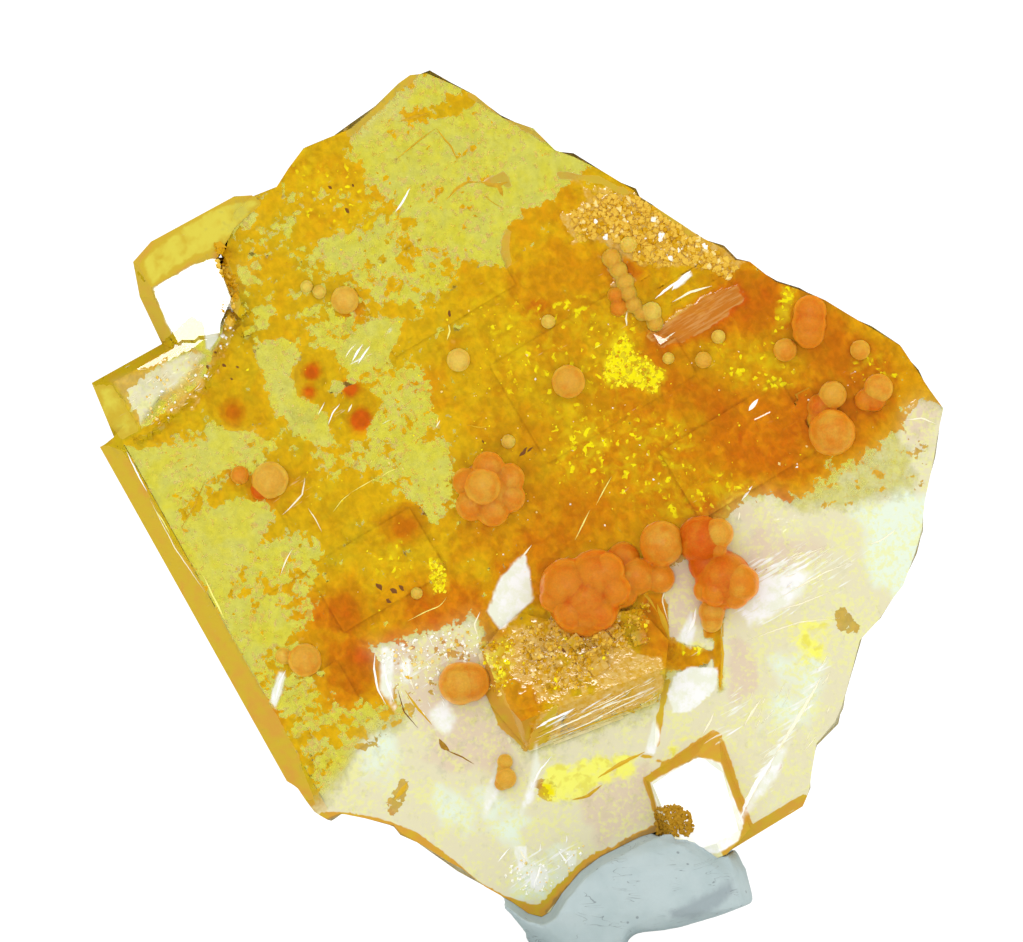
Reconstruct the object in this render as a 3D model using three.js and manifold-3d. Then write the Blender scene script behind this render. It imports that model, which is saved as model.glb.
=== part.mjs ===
import * as THREE from 'three';
import { mergeVertices } from 'three/addons/utils/BufferGeometryUtils.js';
import Module from 'manifold-3d';

// Wulfenite: a thin square tablet of lead molybdate, broken along its upper and right
// sides, with balls of mimetite on both faces, stood in a lump of display putty.
// Millimetres, +Z up. The front face looks along -Y. The tablet and its mimetite are drawn
// upright, front face at y = 0, with [x, z] measured on that face, and then lean back.

const wasm = await Module();
wasm.setup();

// ---------------------------------------------------------------- driving dimensions

const THICKNESS = 1.5; // tablet, face to face
const LEAN = THREE.MathUtils.degToRad(5); // backwards from upright
const TURN = THREE.MathUtils.degToRad(31); // lower grown edge above +X; the left one is square to it
const LEANING = new THREE.Matrix4().makeRotationX(-LEAN).toArray();
const SEAT_GAP = 0.03; // clearance from the crystal to its mimetite
const PRINT_GAP = 0.15; // clearance from the crystal to the putty it is pressed into
const SQUARE_FRONT = -0.42; // front face of the square tablet, lower right
const MIRROR_FACE = new THREE.Vector3(-0.04, -1, 0.12); // the way the two small tablets face
const MIRROR_SPARE = 0.34; // left on the two small tablets for the cut of that face
const DEEP = 4; // past the back of the tablet, for faces that only show in front
const SLOT_CLOSED = 4.05; // right of this x the putty also covers the crystal's front
const ROOT = 0.45; // how deep a small crystal or terrace is set into the tablet
const TAPER = 0.72; // a small crystal's top against its base
const FRACTURE_WAVE = 0.14; // how far a broken edge wanders between front and back
const PUTTY_DEPTH = 3.3; // half the putty lump, front to back
const PUTTY_CENTRE_Y = 1.1;
const PUTTY_MIDDLE = new THREE.Vector3(3, 0, 2.6);
const PUTTY_FULLNESS = { outline: 0.7, depth: 0.85 }; // 1 is a round lump, less is boxier
// Putty pressed flat on the table under the lump, middle at x, y.
const FOOT = { halfWidth: 4.2, halfDepth: 3.2, height: 0.8, edge: 0.22, x: 1.2, y: 1.5, corners: 22 };
const BALL_DETAIL = 2; // icosahedron divisions of the larger mimetite balls
const LARGE_BALL = 0.78; // radius over which a ball is drawn finer
const BALL_LIFT = 0.35; // a ball's centre above the face, as a share of its radius

const YELLOW = 0xd8c21e;
const ORANGE = 0xdc7a26;
const PEACH = 0xe2a33c;
const GREY_BLUE = 0xbcd0d2;

// ---------------------------------------------------------------- outlines, [x, z]

// The main crystal, clockwise from its apex. The grown lower left and lower right sides
// are drawn oversize here and trimmed to their true planes afterwards.
const MAIN_OUTLINE = [
  [-3.3, 27.45], [-2.8, 27.5], [-2.1, 27.2], [-1.35, 26.85], [-0.5, 26.15], [0.4, 25.85],
  [1.05, 25.2], [1.6, 25], [2.5, 24.55], [3.4, 24], [3.6, 23.7], [4.05, 23.5],
  [4.8, 23], [5.4, 22.6], [6.1, 22.25], [6.45, 21.9], [6.9, 21.85], [7.65, 21.25],
  [8.4, 21], [9.15, 20.7], [9.8, 20.3], [10.55, 19.85], [11.4, 19.35], [11.9, 18.6],
  [12.3, 18], [12.7, 17.45], [12.5, 16.5], [12.4, 15.85], [12.15, 14.7], [12.05, 13.8],
  [11.85, 13.1], [11.5, 12.15], [11.15, 11.7], [10.8, 11.15], [10.2, 10.5], [9.95, 9.55],
  [9.65, 8.5], [9.45, 8.05], [8.9, 7.4], [8.75, 6.55], [8.68, 6], [8.4, 5.3],
  [6.4, 3.7], [5.4, 3.65], [4.55, 4.15], [4.1, 4.75], [3.6, 4.6], [3, 4.3],
  [2.4, 4], [1.8, 3.55], [1.25, 2.9], [0.9, 2.35], [0.65, 2.2], [0.25, 2.3],
  [-0.25, 2.65], [-1.05, 3.1], [-1.75, 3.65], [-2.15, 3.85], [-2.85, 4.3], [-3.55, 4.7],
  [-3.8, 4.95], [-4.65, 5.15], [-5.4, 5.3], [-5.8, 5.15], [-6.2, 5.35], [-6.7, 6],
  [-7.15, 6.3], [-12.95, 16.1], [-12.5, 16.4], [-12.2, 16.6], [-10.35, 18.55], [-9.3, 19.8],
  [-8.6, 23.3], [-8.05, 23.8], [-7.3, 24.1], [-6.95, 24.65], [-6.5, 25.25], [-5.8, 25.55],
  [-5.05, 25.85], [-4.3, 26.5], [-3.65, 27.2],
];

// Two smaller crystals grown parallel to it at the upper left.
const BLOCK_OUTLINE = [
  [-12.9, 18.3], [-11.85, 18.85], [-11.15, 19.2], [-10.55, 19.6], [-8.7, 19.35],
  [-8.4, 17.1], [-10.9, 15.1], [-12.2, 16.6],
];
const CORNER_OUTLINE = [
  [-11.1, 19.3], [-11.8, 20.8], [-11.9, 22.2], [-11.1, 22.9], [-8.95, 23.8], [-8.05, 23.85],
  [-7.75, 23.6], [-8.55, 22.85], [-9.1, 21.95], [-8.65, 20.75], [-8.98, 20], [-9, 19.6],
  [-9.35, 19.05],
];

// A square tablet grown on the lower right of the front face.
const SQUARE_OUTLINE = [
  [3.75, 6.35], [5.75, 7.7], [5.95, 7.6], [6.9, 4.85], [6.2, 4.1], [5.4, 3.75],
  [4.45, 4.3], [4.1, 5.35],
];

// A thicker crystal set askew in the middle of the lower half.
const ASKEW_OUTLINE = [
  [-1.25, 10.05], [-0.6, 10.85], [0, 11.3], [1.2, 11.05], [3.6, 11.45], [4.45, 10.5],
  [4.3, 9], [4.05, 8.6], [2.4, 7.9], [0.3, 7.15], [-0.45, 7.7], [-0.9, 8.55],
];

// Putty lump seen from the front, clockwise from the lower left.
const PUTTY_OUTLINE = [
  [0.85, 0.5], [0.35, 1.35], [-0.1, 1.8], [-0.58, 2.1], [-0.75, 2.6], [-0.5, 3.1],
  [0.45, 3.8], [1.35, 4.25], [2.4, 4.6], [3.6, 4.85], [4.5, 4.9], [5.1, 4.85], [5.85, 4.55],
  [6.4, 4.1], [6.85, 3.6], [7.05, 3.05], [7, 2.45], [6.65, 2.1], [5.4, 1.95], [4.2, 1.8],
  [3.3, 1.6], [2.8, 0.5],
];

// The crystal's lower edge, PRINT_GAP outside it, closed well above the putty.
const PRINT_OUTLINE = [
  [-2, 3.6], [-1.2, 3], [-0.35, 2.5], [0.2, 2.1], [0.7, 2], [1.05, 2.2], [1.4, 2.8],
  [1.95, 3.4], [2.5, 3.82], [3.1, 4.12], [3.65, 4.42], [4, 4.55], [4.4, 4.05], [5.35, 3.45],
  [6.4, 3.75], [7.5, 4.5], [7.5, 9], [-2, 9],
];

// ---------------------------------------------------------------- solids

// A repeatable random number from 0 to 1 for each call, by a linear congruence.
function dice(seed) {
  const range = 2 ** 32;
  let state = seed;
  return () => {
    state = (state * 1664525 + 1013904223) % range;
    return state / range;
  };
}

function toSolid(geometry) {
  geometry.deleteAttribute('normal');
  geometry.deleteAttribute('uv');
  const merged = mergeVertices(geometry);
  return new wasm.Manifold(new wasm.Mesh({
    numProp: 3,
    vertProperties: merged.attributes.position.array,
    triVerts: merged.index.array,
  }));
}

function toGeometry(solid) {
  const mesh = solid.getMesh();
  const geometry = new THREE.BufferGeometry();
  geometry.setAttribute('position', new THREE.BufferAttribute(mesh.vertProperties, 3));
  geometry.setIndex(new THREE.BufferAttribute(mesh.triVerts, 1));
  geometry.computeVertexNormals();
  return geometry;
}

function union(solids) {
  return solids.reduce((joined, solid) => joined.add(solid));
}

// A cut can leave crumbs: only the largest piece is the part.
function largest(solid) {
  return solid.decompose().sort((a, b) => b.volume() - a.volume())[0];
}

// An outline in [x, z] pulled straight from y = front to y = back.
function slabGeometry(outline, front, back, steps = 1) {
  const shape = new THREE.Shape(outline.map(([x, z]) => new THREE.Vector2(x, z)));
  const depth = back - front;
  const geometry = new THREE.ExtrudeGeometry(shape, { depth, steps, bevelEnabled: false });
  geometry.rotateX(Math.PI / 2);
  geometry.translate(0, back, 0);
  return geometry;
}

function slab(outline, front, back) {
  return toSolid(slabGeometry(outline, front, back));
}

// Cuts away everything past the plane through point that faces along normal.
function trim(solid, point, normal) {
  const reach = 80; // well over the whole specimen
  const beyond = new THREE.BoxGeometry(reach, reach, reach).translate(0, 0, reach / 2);
  const up = new THREE.Vector3(0, 0, 1);
  const turn = new THREE.Quaternion().setFromUnitVectors(up, normal.clone().normalize());
  beyond.applyQuaternion(turn);
  beyond.translate(point.x, point.y, point.z);
  return solid.subtract(toSolid(beyond));
}

// Crystal faces of one grown side: the plane of the side itself, and a sloping face to the
// front and to the back. The side runs from a to b with the crystal on its left.
function growSide(solid, a, b, { width, depth, front = 0, back = THICKNESS }) {
  const along = new THREE.Vector2(b[0] - a[0], b[1] - a[1]).normalize();
  const out = new THREE.Vector2(along.y, -along.x);
  const ridge = (y) => new THREE.Vector3(a[0], y, a[1]);
  const face = (y) => new THREE.Vector3(out.x * depth, y, out.y * depth);
  let grown = trim(solid, ridge(0), new THREE.Vector3(out.x, 0, out.y));
  grown = trim(grown, ridge(front + depth), face(-width));
  return trim(grown, ridge(back - depth), face(width));
}

// A square crystal that pokes out of the face at [x, z], with sloping sides and a flat top.
function smallCrystal({ x, z, half, rise, turn = TURN, tilt = [0, 0], side = 'front' }) {
  const height = rise + ROOT;
  const diagonal = half * Math.SQRT2;
  const crystal = new THREE.CylinderGeometry(diagonal * TAPER, diagonal, height, 4);
  crystal.rotateY(Math.PI / 4 + turn);
  crystal.translate(0, height / 2 - ROOT, 0);
  crystal.rotateX(tilt[0]);
  crystal.rotateZ(tilt[1]);
  if (side === 'front') crystal.rotateX(Math.PI);
  crystal.translate(x, side === 'front' ? 0 : THICKNESS, z);
  return toSolid(crystal);
}

// A crust of small crystals, scattered in an ellipse that reaches [u, v] from its middle.
function crust({ at: [x, z], reach: [reachU, reachV], slope = 0, count, half, rise }, seed, side) {
  const roll = dice(seed);
  const crystals = [];
  for (let i = 0; i < count; i += 1) {
    const bearing = 2 * Math.PI * ((i + roll() * 0.6) / count) * 3;
    const far = Math.sqrt((i + 0.5) / count);
    const u = reachU * far * Math.cos(bearing);
    const v = reachV * far * Math.sin(bearing);
    crystals.push(smallCrystal({
      x: x + u * Math.cos(slope) - v * Math.sin(slope),
      z: z + u * Math.sin(slope) + v * Math.cos(slope),
      half: half * (0.7 + 0.6 * roll()),
      rise: rise * (0.5 + 0.9 * roll()),
      turn: TURN + (roll() - 0.5) * 0.7,
      tilt: [(roll() - 0.5) * 0.5, (roll() - 0.5) * 0.5],
      side,
    }));
  }
  return union(crystals);
}

// A bar or step laid along the grown edge direction, its middle at [x, z].
function bar({ x, z, length, width, rise, turn = TURN, tilt = 0 }) {
  const height = rise + ROOT;
  const box = new THREE.BoxGeometry(length, height, width);
  box.translate(0, ROOT - height / 2, 0);
  box.rotateX(tilt);
  box.rotateY(-turn);
  box.translate(x, 0, z);
  return toSolid(box);
}

// ---------------------------------------------------------------- the wulfenite

// Broken walls wander a little between the front face and the back face.
function mainCrystal() {
  const geometry = slabGeometry(MAIN_OUTLINE, 0, THICKNESS, 2);
  const position = geometry.attributes.position;
  for (let i = 0; i < position.count; i += 1) {
    const x = position.getX(i);
    const y = position.getY(i);
    const z = position.getZ(i);
    const share = y / THICKNESS;
    const bulge = share * FRACTURE_WAVE;
    position.setX(i, x + bulge * Math.sin(2.3 * z + 2.1 * share));
    position.setZ(i, z + bulge * Math.cos(2.9 * x + 1.7 * share));
  }
  const left = growSide(toSolid(geometry), [-12.6, 16.25], [-7.2, 6.6], { width: 0.68, depth: 0.55 });
  return growSide(left, [6.2, 4.1], [8.5, 5.5], { width: 0.4, depth: 0.5 });
}

function blockCrystal() {
  const faces = { front: -0.12, back: THICKNESS - 0.1 };
  const rough = slab(BLOCK_OUTLINE, faces.front, faces.back);
  const left = growSide(rough, [-12.85, 18.1], [-12.2, 16.6], { width: 0.62, depth: 0.6, ...faces });
  return growSide(left, [-10.55, 19.5], [-12.8, 18.25], { width: 0.3, depth: 0.5, ...faces });
}

function cornerCrystal() {
  const front = -0.35;
  const back = THICKNESS + 0.1;
  const depth = 0.75;
  let crystal = slab(CORNER_OUTLINE, front - MIRROR_SPARE, back);
  const sides = [
    [[-11.62, 21.85], [-11.42, 20.8], 0.4],
    [[-11.42, 20.8], [-10.85, 19.6], 0.36],
    [[-11.08, 22.46], [-11.62, 21.85], 0.55],
    [[-8.95, 23.62], [-11.08, 22.46], 1.22],
  ];
  for (const [a, b, width] of sides) {
    crystal = growSide(crystal, a, b, { width, depth, front, back });
  }
  return trim(crystal, new THREE.Vector3(-10, front, 21.5), MIRROR_FACE);
}

function squareTablet() {
  const front = SQUARE_FRONT;
  let tablet = slab(SQUARE_OUTLINE, front - MIRROR_SPARE, ROOT);
  const sides = [
    [[5.75, 7.7], [3.75, 6.35], 0.26],
    [[5.95, 7.6], [5.75, 7.7], 0.75],
    [[6.9, 4.85], [5.95, 7.6], 0.2],
    [[3.75, 6.35], [4.1, 5.35], 0.15],
  ];
  for (const [a, b, width] of sides) {
    tablet = growSide(tablet, a, b, { width, depth: -front, front, back: DEEP });
  }
  return trim(tablet, new THREE.Vector3(5.1, front, 7), MIRROR_FACE);
}

function askewCrystal() {
  const front = -0.7;
  let crystal = slab(ASKEW_OUTLINE, front, ROOT);
  const low = { depth: 0.6, front, back: DEEP };
  crystal = growSide(crystal, [0.3, 7.15], [4.05, 8.6], { ...low, width: 0.95 });
  crystal = growSide(crystal, [-0.9, 8.55], [0.3, 7.15], { ...low, width: 0.4 });
  crystal = growSide(crystal, [-1.25, 10.05], [-0.9, 8.55], { ...low, width: 0.5 });
  crystal = trim(crystal, new THREE.Vector3(2, front, 8.9), new THREE.Vector3(-0.05, -1, 0.2));
  const ribs = [0, 1, 2, 3].map((i) => bar({
    x: 1.75 + 0.1 * i,
    z: 8.42 - 0.2 * i,
    length: 3 - 0.25 * i,
    width: 0.09,
    rise: 0.62 - 0.13 * i,
    turn: THREE.MathUtils.degToRad(21),
    tilt: 0.1,
  }));
  return union([crystal, ...ribs]);
}

// Long parallel steps beside the upper right edge.
function steppedCrystal() {
  const steps = [
    { x: 4.7, z: 21.15, length: 1.7, width: 0.34, rise: 0.34 },
    { x: 5.25, z: 20.7, length: 2.2, width: 0.4, rise: 0.24 },
    { x: 5.15, z: 20.2, length: 2.5, width: 0.5, rise: 0.14 },
    { x: 4.15, z: 20.75, length: 0.35, width: 1.4, rise: 0.28 },
  ];
  return union(steps.map((step) => bar({ ...step, tilt: -0.12 })));
}

// Thin growth layers left standing on the faces, their sides parallel to the grown edges.
function terraces() {
  const layers = [
    { x: -2.6, z: 21.2, length: 4.2, width: 2.6, rise: 0.07 },
    { x: -8.2, z: 13.6, length: 2.4, width: 3.6, rise: 0.06 },
    { x: 2.2, z: 18.6, length: 5.2, width: 3.4, rise: 0.05 },
    { x: 6.6, z: 16.2, length: 4.2, width: 2.4, rise: 0.08 },
    { x: -4.3, z: 12.6, length: 3.6, width: 2.2, rise: 0.07 },
    { x: 8.1, z: 10.2, length: 2.2, width: 3.4, rise: 0.05 },
    { x: -1.4, z: 5.9, length: 3.6, width: 1.8, rise: 0.06 },
    { x: -5.6, z: 8.3, length: 1.8, width: 2.6, rise: 0.06 },
  ];
  return union(layers.map(bar));
}

// The same kind of layers on the back face, and a few crystals of its own.
function backRelief() {
  const layers = [
    { x: -3, z: 18.5, length: 8, width: 5, rise: 0.1 },
    { x: 4.5, z: 13, length: 7, width: 6, rise: 0.12 },
    { x: -3.2, z: 9, length: 4.5, width: 3, rise: 0.09 },
    { x: 7.5, z: 17, length: 3, width: 2.4, rise: 0.16 },
  ];
  const raised = layers.map((layer) => bar(layer).mirror([0, 1, 0]).translate([0, THICKNESS, 0]));
  const crusts = [
    { at: [-7, 19.2], reach: [1.6, 1], count: 6, half: 0.42, rise: 0.25 },
    { at: [2.4, 20.8], reach: [1.8, 1.1], count: 6, half: 0.44, rise: 0.28 },
    { at: [0.6, 8.6], reach: [1.7, 1.2], count: 6, half: 0.46, rise: 0.3 },
  ];
  return union([...raised, ...crusts.map((place, i) => crust(place, 11 + i, 'back'))]);
}

function frontCrusts() {
  const crusts = [
    { at: [3.9, 22.2], reach: [2.4, 0.65], slope: -0.55, count: 14, half: 0.28, rise: 0.17 },
    { at: [-10.6, 18], reach: [1.1, 0.8], slope: 0.5, count: 7, half: 0.24, rise: 0.2 },
    { at: [-8.4, 20.2], reach: [0.3, 0.9], count: 5, half: 0.2, rise: 0.32 },
    { at: [2.1, 10.3], reach: [1.8, 0.7], slope: 0.1, count: 9, half: 0.3, rise: 0.6 },
    { at: [8.2, 17.3], reach: [1, 0.6], count: 6, half: 0.3, rise: 0.14 },
    { at: [9.8, 11.1], reach: [0.35, 0.3], count: 4, half: 0.18, rise: 0.14 },
  ];
  return union(crusts.map((place, i) => crust(place, 1 + i, 'front')));
}

function wulfenite() {
  return union([
    mainCrystal(), blockCrystal(), cornerCrystal(), squareTablet(), askewCrystal(),
    steppedCrystal(), terraces(), frontCrusts(), backRelief(),
  ]);
}

// ---------------------------------------------------------------- the mimetite

// Each entry is one clump of balls grown into each other: [x, z, radius] of every ball, and
// its height above the face where it grew over smaller crystals.
const FRONT_CLUMPS = {
  mimetite_large_clump: [
    [1.5, 12.15, 0.9], [2.25, 12.35, 0.95], [2.15, 11.65, 1], [3.15, 12.35, 0.65],
    [4.05, 13.35, 0.85], [3.65, 12.5, 0.8], [4.2, 12.3, 0.55],
  ],
  mimetite_right_clump: [
    [5.55, 13.5, 0.75], [5.55, 13, 0.35], [6.45, 12.3, 0.8], [5.7, 12.1, 0.55], [5.7, 12.75, 0.5],
    [5.75, 11.35, 0.4], [5.75, 11.05, 0.35],
  ],
  mimetite_rosette: [[-0.9, 15, 1.1], [-1.1, 15.1, 0.6], [-0.45, 15, 0.65], [-1.2, 15.6, 0.45]],
  mimetite_oval_ball: [[-1.8, 9.2, 0.65], [-1.5, 9.25, 0.6]],
  mimetite_left_ball: [[-7.5, 15.25, 0.55]],
  mimetite_lower_left_balls: [[-6.45, 9.9, 0.5], [-7.1, 10.02, 0.26]],
  mimetite_middle_ball: [[1.45, 18.25, 0.5]],
  mimetite_upper_balls: [[-5.25, 20.7, 0.42]],
  mimetite_edge_balls: [[8.75, 20.3, 0.52], [8.65, 19.6, 0.42]],
  mimetite_right_balls: [[9.3, 16.8, 0.82], [9.1, 17.75, 0.45]],
  mimetite_far_right_balls: [[10.8, 18, 0.42], [10.35, 17.7, 0.36]],
  mimetite_lower_pair: [[-0.45, 6.75, 0.26], [-0.45, 6.35, 0.4]],
  mimetite_ridge: [
    [2.85, 22.05, 0.28, 0.3], [3.1, 21.6, 0.28, 0.3], [3.35, 21.15, 0.28, 0.28],
    [3.6, 20.7, 0.28, 0.24], [3.82, 20.22, 0.28, 0.16], [4.15, 19.8, 0.28, 0.08],
  ],
};

// Single small balls of the front, [x, z, radius].
const FRONT_BEADS = [
  [-1.85, 18.9, 0.35], [0.85, 20.05, 0.21], [-6.4, 21.1, 0.19], [-6.02, 20.95, 0.21],
  [-3.1, 11.9, 0.18], [-0.35, 16.45, 0.21], [5.95, 19.6, 0.21], [5.5, 18.9, 0.25],
  [4.45, 18.95, 0.18], [7.95, 19.2, 0.35], [10.2, 19.2, 0.3], [-8.4, 15.45, 0.28],
];

const BACK_BALLS = [
  [-6.3, 18.45, 0.5], [-4.9, 17.5, 0.6], [-8.55, 17.35, 0.5], [-3.45, 13.95, 0.7],
  [-5, 11.4, 0.75], [-4.9, 9.5, 0.65], [6.9, 20.8, 0.8], [5.6, 17.5, 1], [0.75, 6.05, 0.3],
];

function ball(x, y, z, radius, detail) {
  return toSolid(new THREE.IcosahedronGeometry(radius, detail).translate(x, y, z));
}

// A clump seated on whichever face it grew on, cut to the crystal under it.
function mimetite(balls, crystal, side = 'front') {
  const outward = side === 'front' ? -1 : 1;
  const face = side === 'front' ? 0 : THICKNESS;
  const clump = union(balls.map(([x, z, radius, lift = BALL_LIFT * radius]) => {
    const detail = radius > LARGE_BALL ? BALL_DETAIL : BALL_DETAIL - 1;
    return ball(x, face + outward * lift, z, radius, detail);
  }));
  const seat = crystal.translate([0, outward * SEAT_GAP, 0]);
  return largest(clump.subtract(seat));
}

// ---------------------------------------------------------------- the putty

// A soft lump: the front outline shrinks evenly to nothing at the front and the back.
function lump() {
  const corners = PUTTY_OUTLINE.map(([x, z]) => new THREE.Vector3(x, 0, z));
  const outline = new THREE.CatmullRomCurve3(corners, true).getPoints(PUTTY_OUTLINE.length * 3);
  const columns = 28;
  const rings = 10;
  const geometry = new THREE.SphereGeometry(1, columns, rings).rotateX(Math.PI / 2);
  const position = geometry.attributes.position;
  for (let i = 0; i < position.count; i += 1) {
    const y = position.getY(i);
    const flat = new THREE.Vector3(position.getX(i), 0, position.getZ(i));
    const share = flat.length() ** PUTTY_FULLNESS.outline;
    const rim = share > 0 ? rimOf(outline, flat.normalize()) * share : 0;
    position.setXYZ(
      i,
      PUTTY_MIDDLE.x + flat.x * rim,
      PUTTY_CENTRE_Y + PUTTY_DEPTH * Math.sign(y) * Math.abs(y) ** PUTTY_FULLNESS.depth,
      PUTTY_MIDDLE.z + flat.z * rim,
    );
  }
  return toSolid(geometry);
}

// How far the outline lies from the middle of the lump in one direction.
function rimOf(outline, direction) {
  for (let i = 1; i < outline.length; i += 1) {
    const a = outline[i - 1].clone().sub(PUTTY_MIDDLE);
    const b = outline[i].clone().sub(PUTTY_MIDDLE);
    const pastA = a.x * direction.z - a.z * direction.x;
    const pastB = b.x * direction.z - b.z * direction.x;
    if (pastA * pastB <= 0 && a.dot(direction) > 0) {
      return a.lerp(b, pastA / (pastA - pastB)).length();
    }
  }
  return 0;
}

// The part pressed on to the table, wider than the lump so that the crystal stands.
function foot() {
  const { halfWidth, halfDepth, height, edge, x, y, corners } = FOOT;
  const points = Array.from({ length: corners }, (_, i) => {
    const bearing = (2 * Math.PI * i) / corners;
    const wander = 1 + 0.06 * Math.sin(3 * bearing + 1) + 0.04 * Math.sin(5 * bearing);
    return new THREE.Vector2(halfWidth * Math.cos(bearing), halfDepth * Math.sin(bearing))
      .multiplyScalar(wander);
  });
  const pad = new THREE.ExtrudeGeometry(new THREE.Shape(points), {
    depth: height - 2 * edge, bevelThickness: edge, bevelSize: edge, bevelSegments: 2,
  });
  return toSolid(pad.translate(x, y, edge));
}

// The print of the crystal: a slot a little wider than its lower edge. Left of SLOT_CLOSED
// the putty lies only under and behind the crystal, so there the slot is open to the front.
function print() {
  const back = THICKNESS + PRINT_GAP;
  const slot = slab(PRINT_OUTLINE, SQUARE_FRONT - MIRROR_SPARE - PRINT_GAP, back);
  const reach = 14;
  const left = new THREE.BoxGeometry(reach, reach, 2 * reach);
  left.translate(SLOT_CLOSED - reach / 2, -reach / 2, 0);
  const open = slab(PRINT_OUTLINE, -reach, back).intersect(toSolid(left));
  return slot.add(open).transform(LEANING);
}

function putty() {
  const reach = 40;
  const aboveTable = toSolid(new THREE.BoxGeometry(reach, reach, reach).translate(0, 0, reach / 2));
  return largest(lump().add(foot()).intersect(aboveTable).subtract(print()));
}

// ---------------------------------------------------------------- the model

function material(color, roughness) {
  return new THREE.MeshStandardMaterial({ color, roughness, metalness: 0 });
}

function named(name, solid, look) {
  const mesh = new THREE.Mesh(toGeometry(solid), look);
  mesh.name = name;
  return mesh;
}

const crystal = wulfenite();
const specimen = new THREE.Group();
specimen.rotation.x = -LEAN;
specimen.add(named('wulfenite_crystal', crystal, material(YELLOW, 0.15)));

for (const [name, balls] of Object.entries(FRONT_CLUMPS)) {
  specimen.add(named(name, mimetite(balls, crystal), material(ORANGE, 0.5)));
}
FRONT_BEADS.forEach((bead, i) => {
  specimen.add(named(`mimetite_bead_${i + 1}`, mimetite([bead], crystal), material(PEACH, 0.45)));
});
BACK_BALLS.forEach((back, i) => {
  const solid = mimetite([back], crystal, 'back');
  specimen.add(named(`mimetite_back_ball_${i + 1}`, solid, material(ORANGE, 0.5)));
});

const model = new THREE.Group();
model.add(specimen, named('putty_foot', putty(), material(GREY_BLUE, 0.85)));

// Origin at the middle of the footprint, on the table.
const box = new THREE.Box3().setFromObject(model);
const centre = box.getCenter(new THREE.Vector3());
model.position.set(-centre.x, -centre.y, -box.min.z);

export default model;
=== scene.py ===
import math
import random

import bmesh
import bpy
import numpy as np
from mathutils import Matrix, Quaternion, Vector, noise
from mathutils.bvhtree import BVHTree


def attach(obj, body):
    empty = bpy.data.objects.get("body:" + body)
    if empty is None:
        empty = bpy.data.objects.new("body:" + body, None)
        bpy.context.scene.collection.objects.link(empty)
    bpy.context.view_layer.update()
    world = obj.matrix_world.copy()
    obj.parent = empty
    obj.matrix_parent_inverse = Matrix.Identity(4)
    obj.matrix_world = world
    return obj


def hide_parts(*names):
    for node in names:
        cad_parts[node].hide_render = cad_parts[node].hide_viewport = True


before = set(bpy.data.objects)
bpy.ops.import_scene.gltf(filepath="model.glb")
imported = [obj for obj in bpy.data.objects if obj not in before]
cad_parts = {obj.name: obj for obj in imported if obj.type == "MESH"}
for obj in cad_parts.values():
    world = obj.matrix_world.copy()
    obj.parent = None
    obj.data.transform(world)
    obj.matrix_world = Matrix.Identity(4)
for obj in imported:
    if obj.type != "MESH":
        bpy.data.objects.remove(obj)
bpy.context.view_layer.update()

# ---- The room: a pale table, a white surround, and two soft panels beside the camera.
# The surround lights every face. Its mirror image is kept dim, so that polished faces stay deep in colour
# and only the two panels glint in them.
MM = 0.001
LEAN = math.radians(5)
TABLET_X, TABLET_Y = 0.0823, -1.3795  # where the tablet's own axes start in the room, in mm


def on_tablet(x, y, z):
    """A point in the tablet's own axes, in mm from its front face, as a point of the room in metres."""
    return Vector((
        x + TABLET_X,
        y * math.cos(LEAN) + z * math.sin(LEAN) + TABLET_Y,
        -y * math.sin(LEAN) + z * math.cos(LEAN),
    )) * MM


def off_tablet(spot):
    """The same the other way round: a point of the room as x, y and z on the tablet, in mm."""
    y, z = spot.y / MM - TABLET_Y, spot.z / MM
    back, up = y * math.cos(LEAN) - z * math.sin(LEAN), y * math.sin(LEAN) + z * math.cos(LEAN)
    return spot.x / MM - TABLET_X, back, up


def stand(name, made_of):
    """A new thing in the scene."""
    made = bpy.data.objects.new(name, made_of)
    bpy.context.collection.objects.link(made)
    return made


face_right = Vector((1, 0, 0))
face_up = Vector((0, math.sin(LEAN), math.cos(LEAN)))
face_out = Vector((0, -math.cos(LEAN), math.sin(LEAN)))
VIEW_DISTANCE = 0.4
VIEW_WIDTH = 0.03069
SENSOR = 36

camera = stand("camera", bpy.data.cameras.new("camera"))
camera.location = on_tablet(-0.255, 0, 15.57) + face_out * VIEW_DISTANCE
camera.rotation_mode = "QUATERNION"
camera.rotation_quaternion = (-face_out).to_track_quat("-Z", "Y")
camera.data.sensor_width = SENSOR
camera.data.lens = SENSOR * VIEW_DISTANCE / VIEW_WIDTH
camera.data.clip_start = 0.05
camera.data.clip_end = 20
bpy.context.scene.camera = camera
bpy.context.scene.view_settings.view_transform = "Standard"


def panel(name, right, up, wide, high, radiance, turn=0):
    """A soft light panel in the camera's plane, right and up of it in mm. The camera doesn't see it."""
    lamp = bpy.data.lights.new(name, "AREA")
    lamp.shape = "RECTANGLE"
    lamp.size = wide * MM
    lamp.size_y = high * MM
    lamp.energy = radiance * math.pi * wide * high * MM * MM
    held = stand(name, lamp)
    held.location = camera.location + face_right * right * MM + face_up * up * MM
    held.rotation_mode = "QUATERNION"
    held.rotation_quaternion = camera.rotation_quaternion @ Quaternion((0, 0, 1), math.radians(turn))
    held.visible_camera = False
    held.visible_diffuse = False


panel("low_panel", 75, -85, 150, 90, 1.0, turn=22)
panel("top_panel", -38, 92, 66, 66, 5)


def start(name):
    """A new material and its empty node tree, with the output node."""
    made = bpy.data.materials.new(name)
    made.use_nodes = True
    made.node_tree.nodes.clear()
    return made, made.node_tree, made.node_tree.nodes.new("ShaderNodeOutputMaterial")


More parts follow.
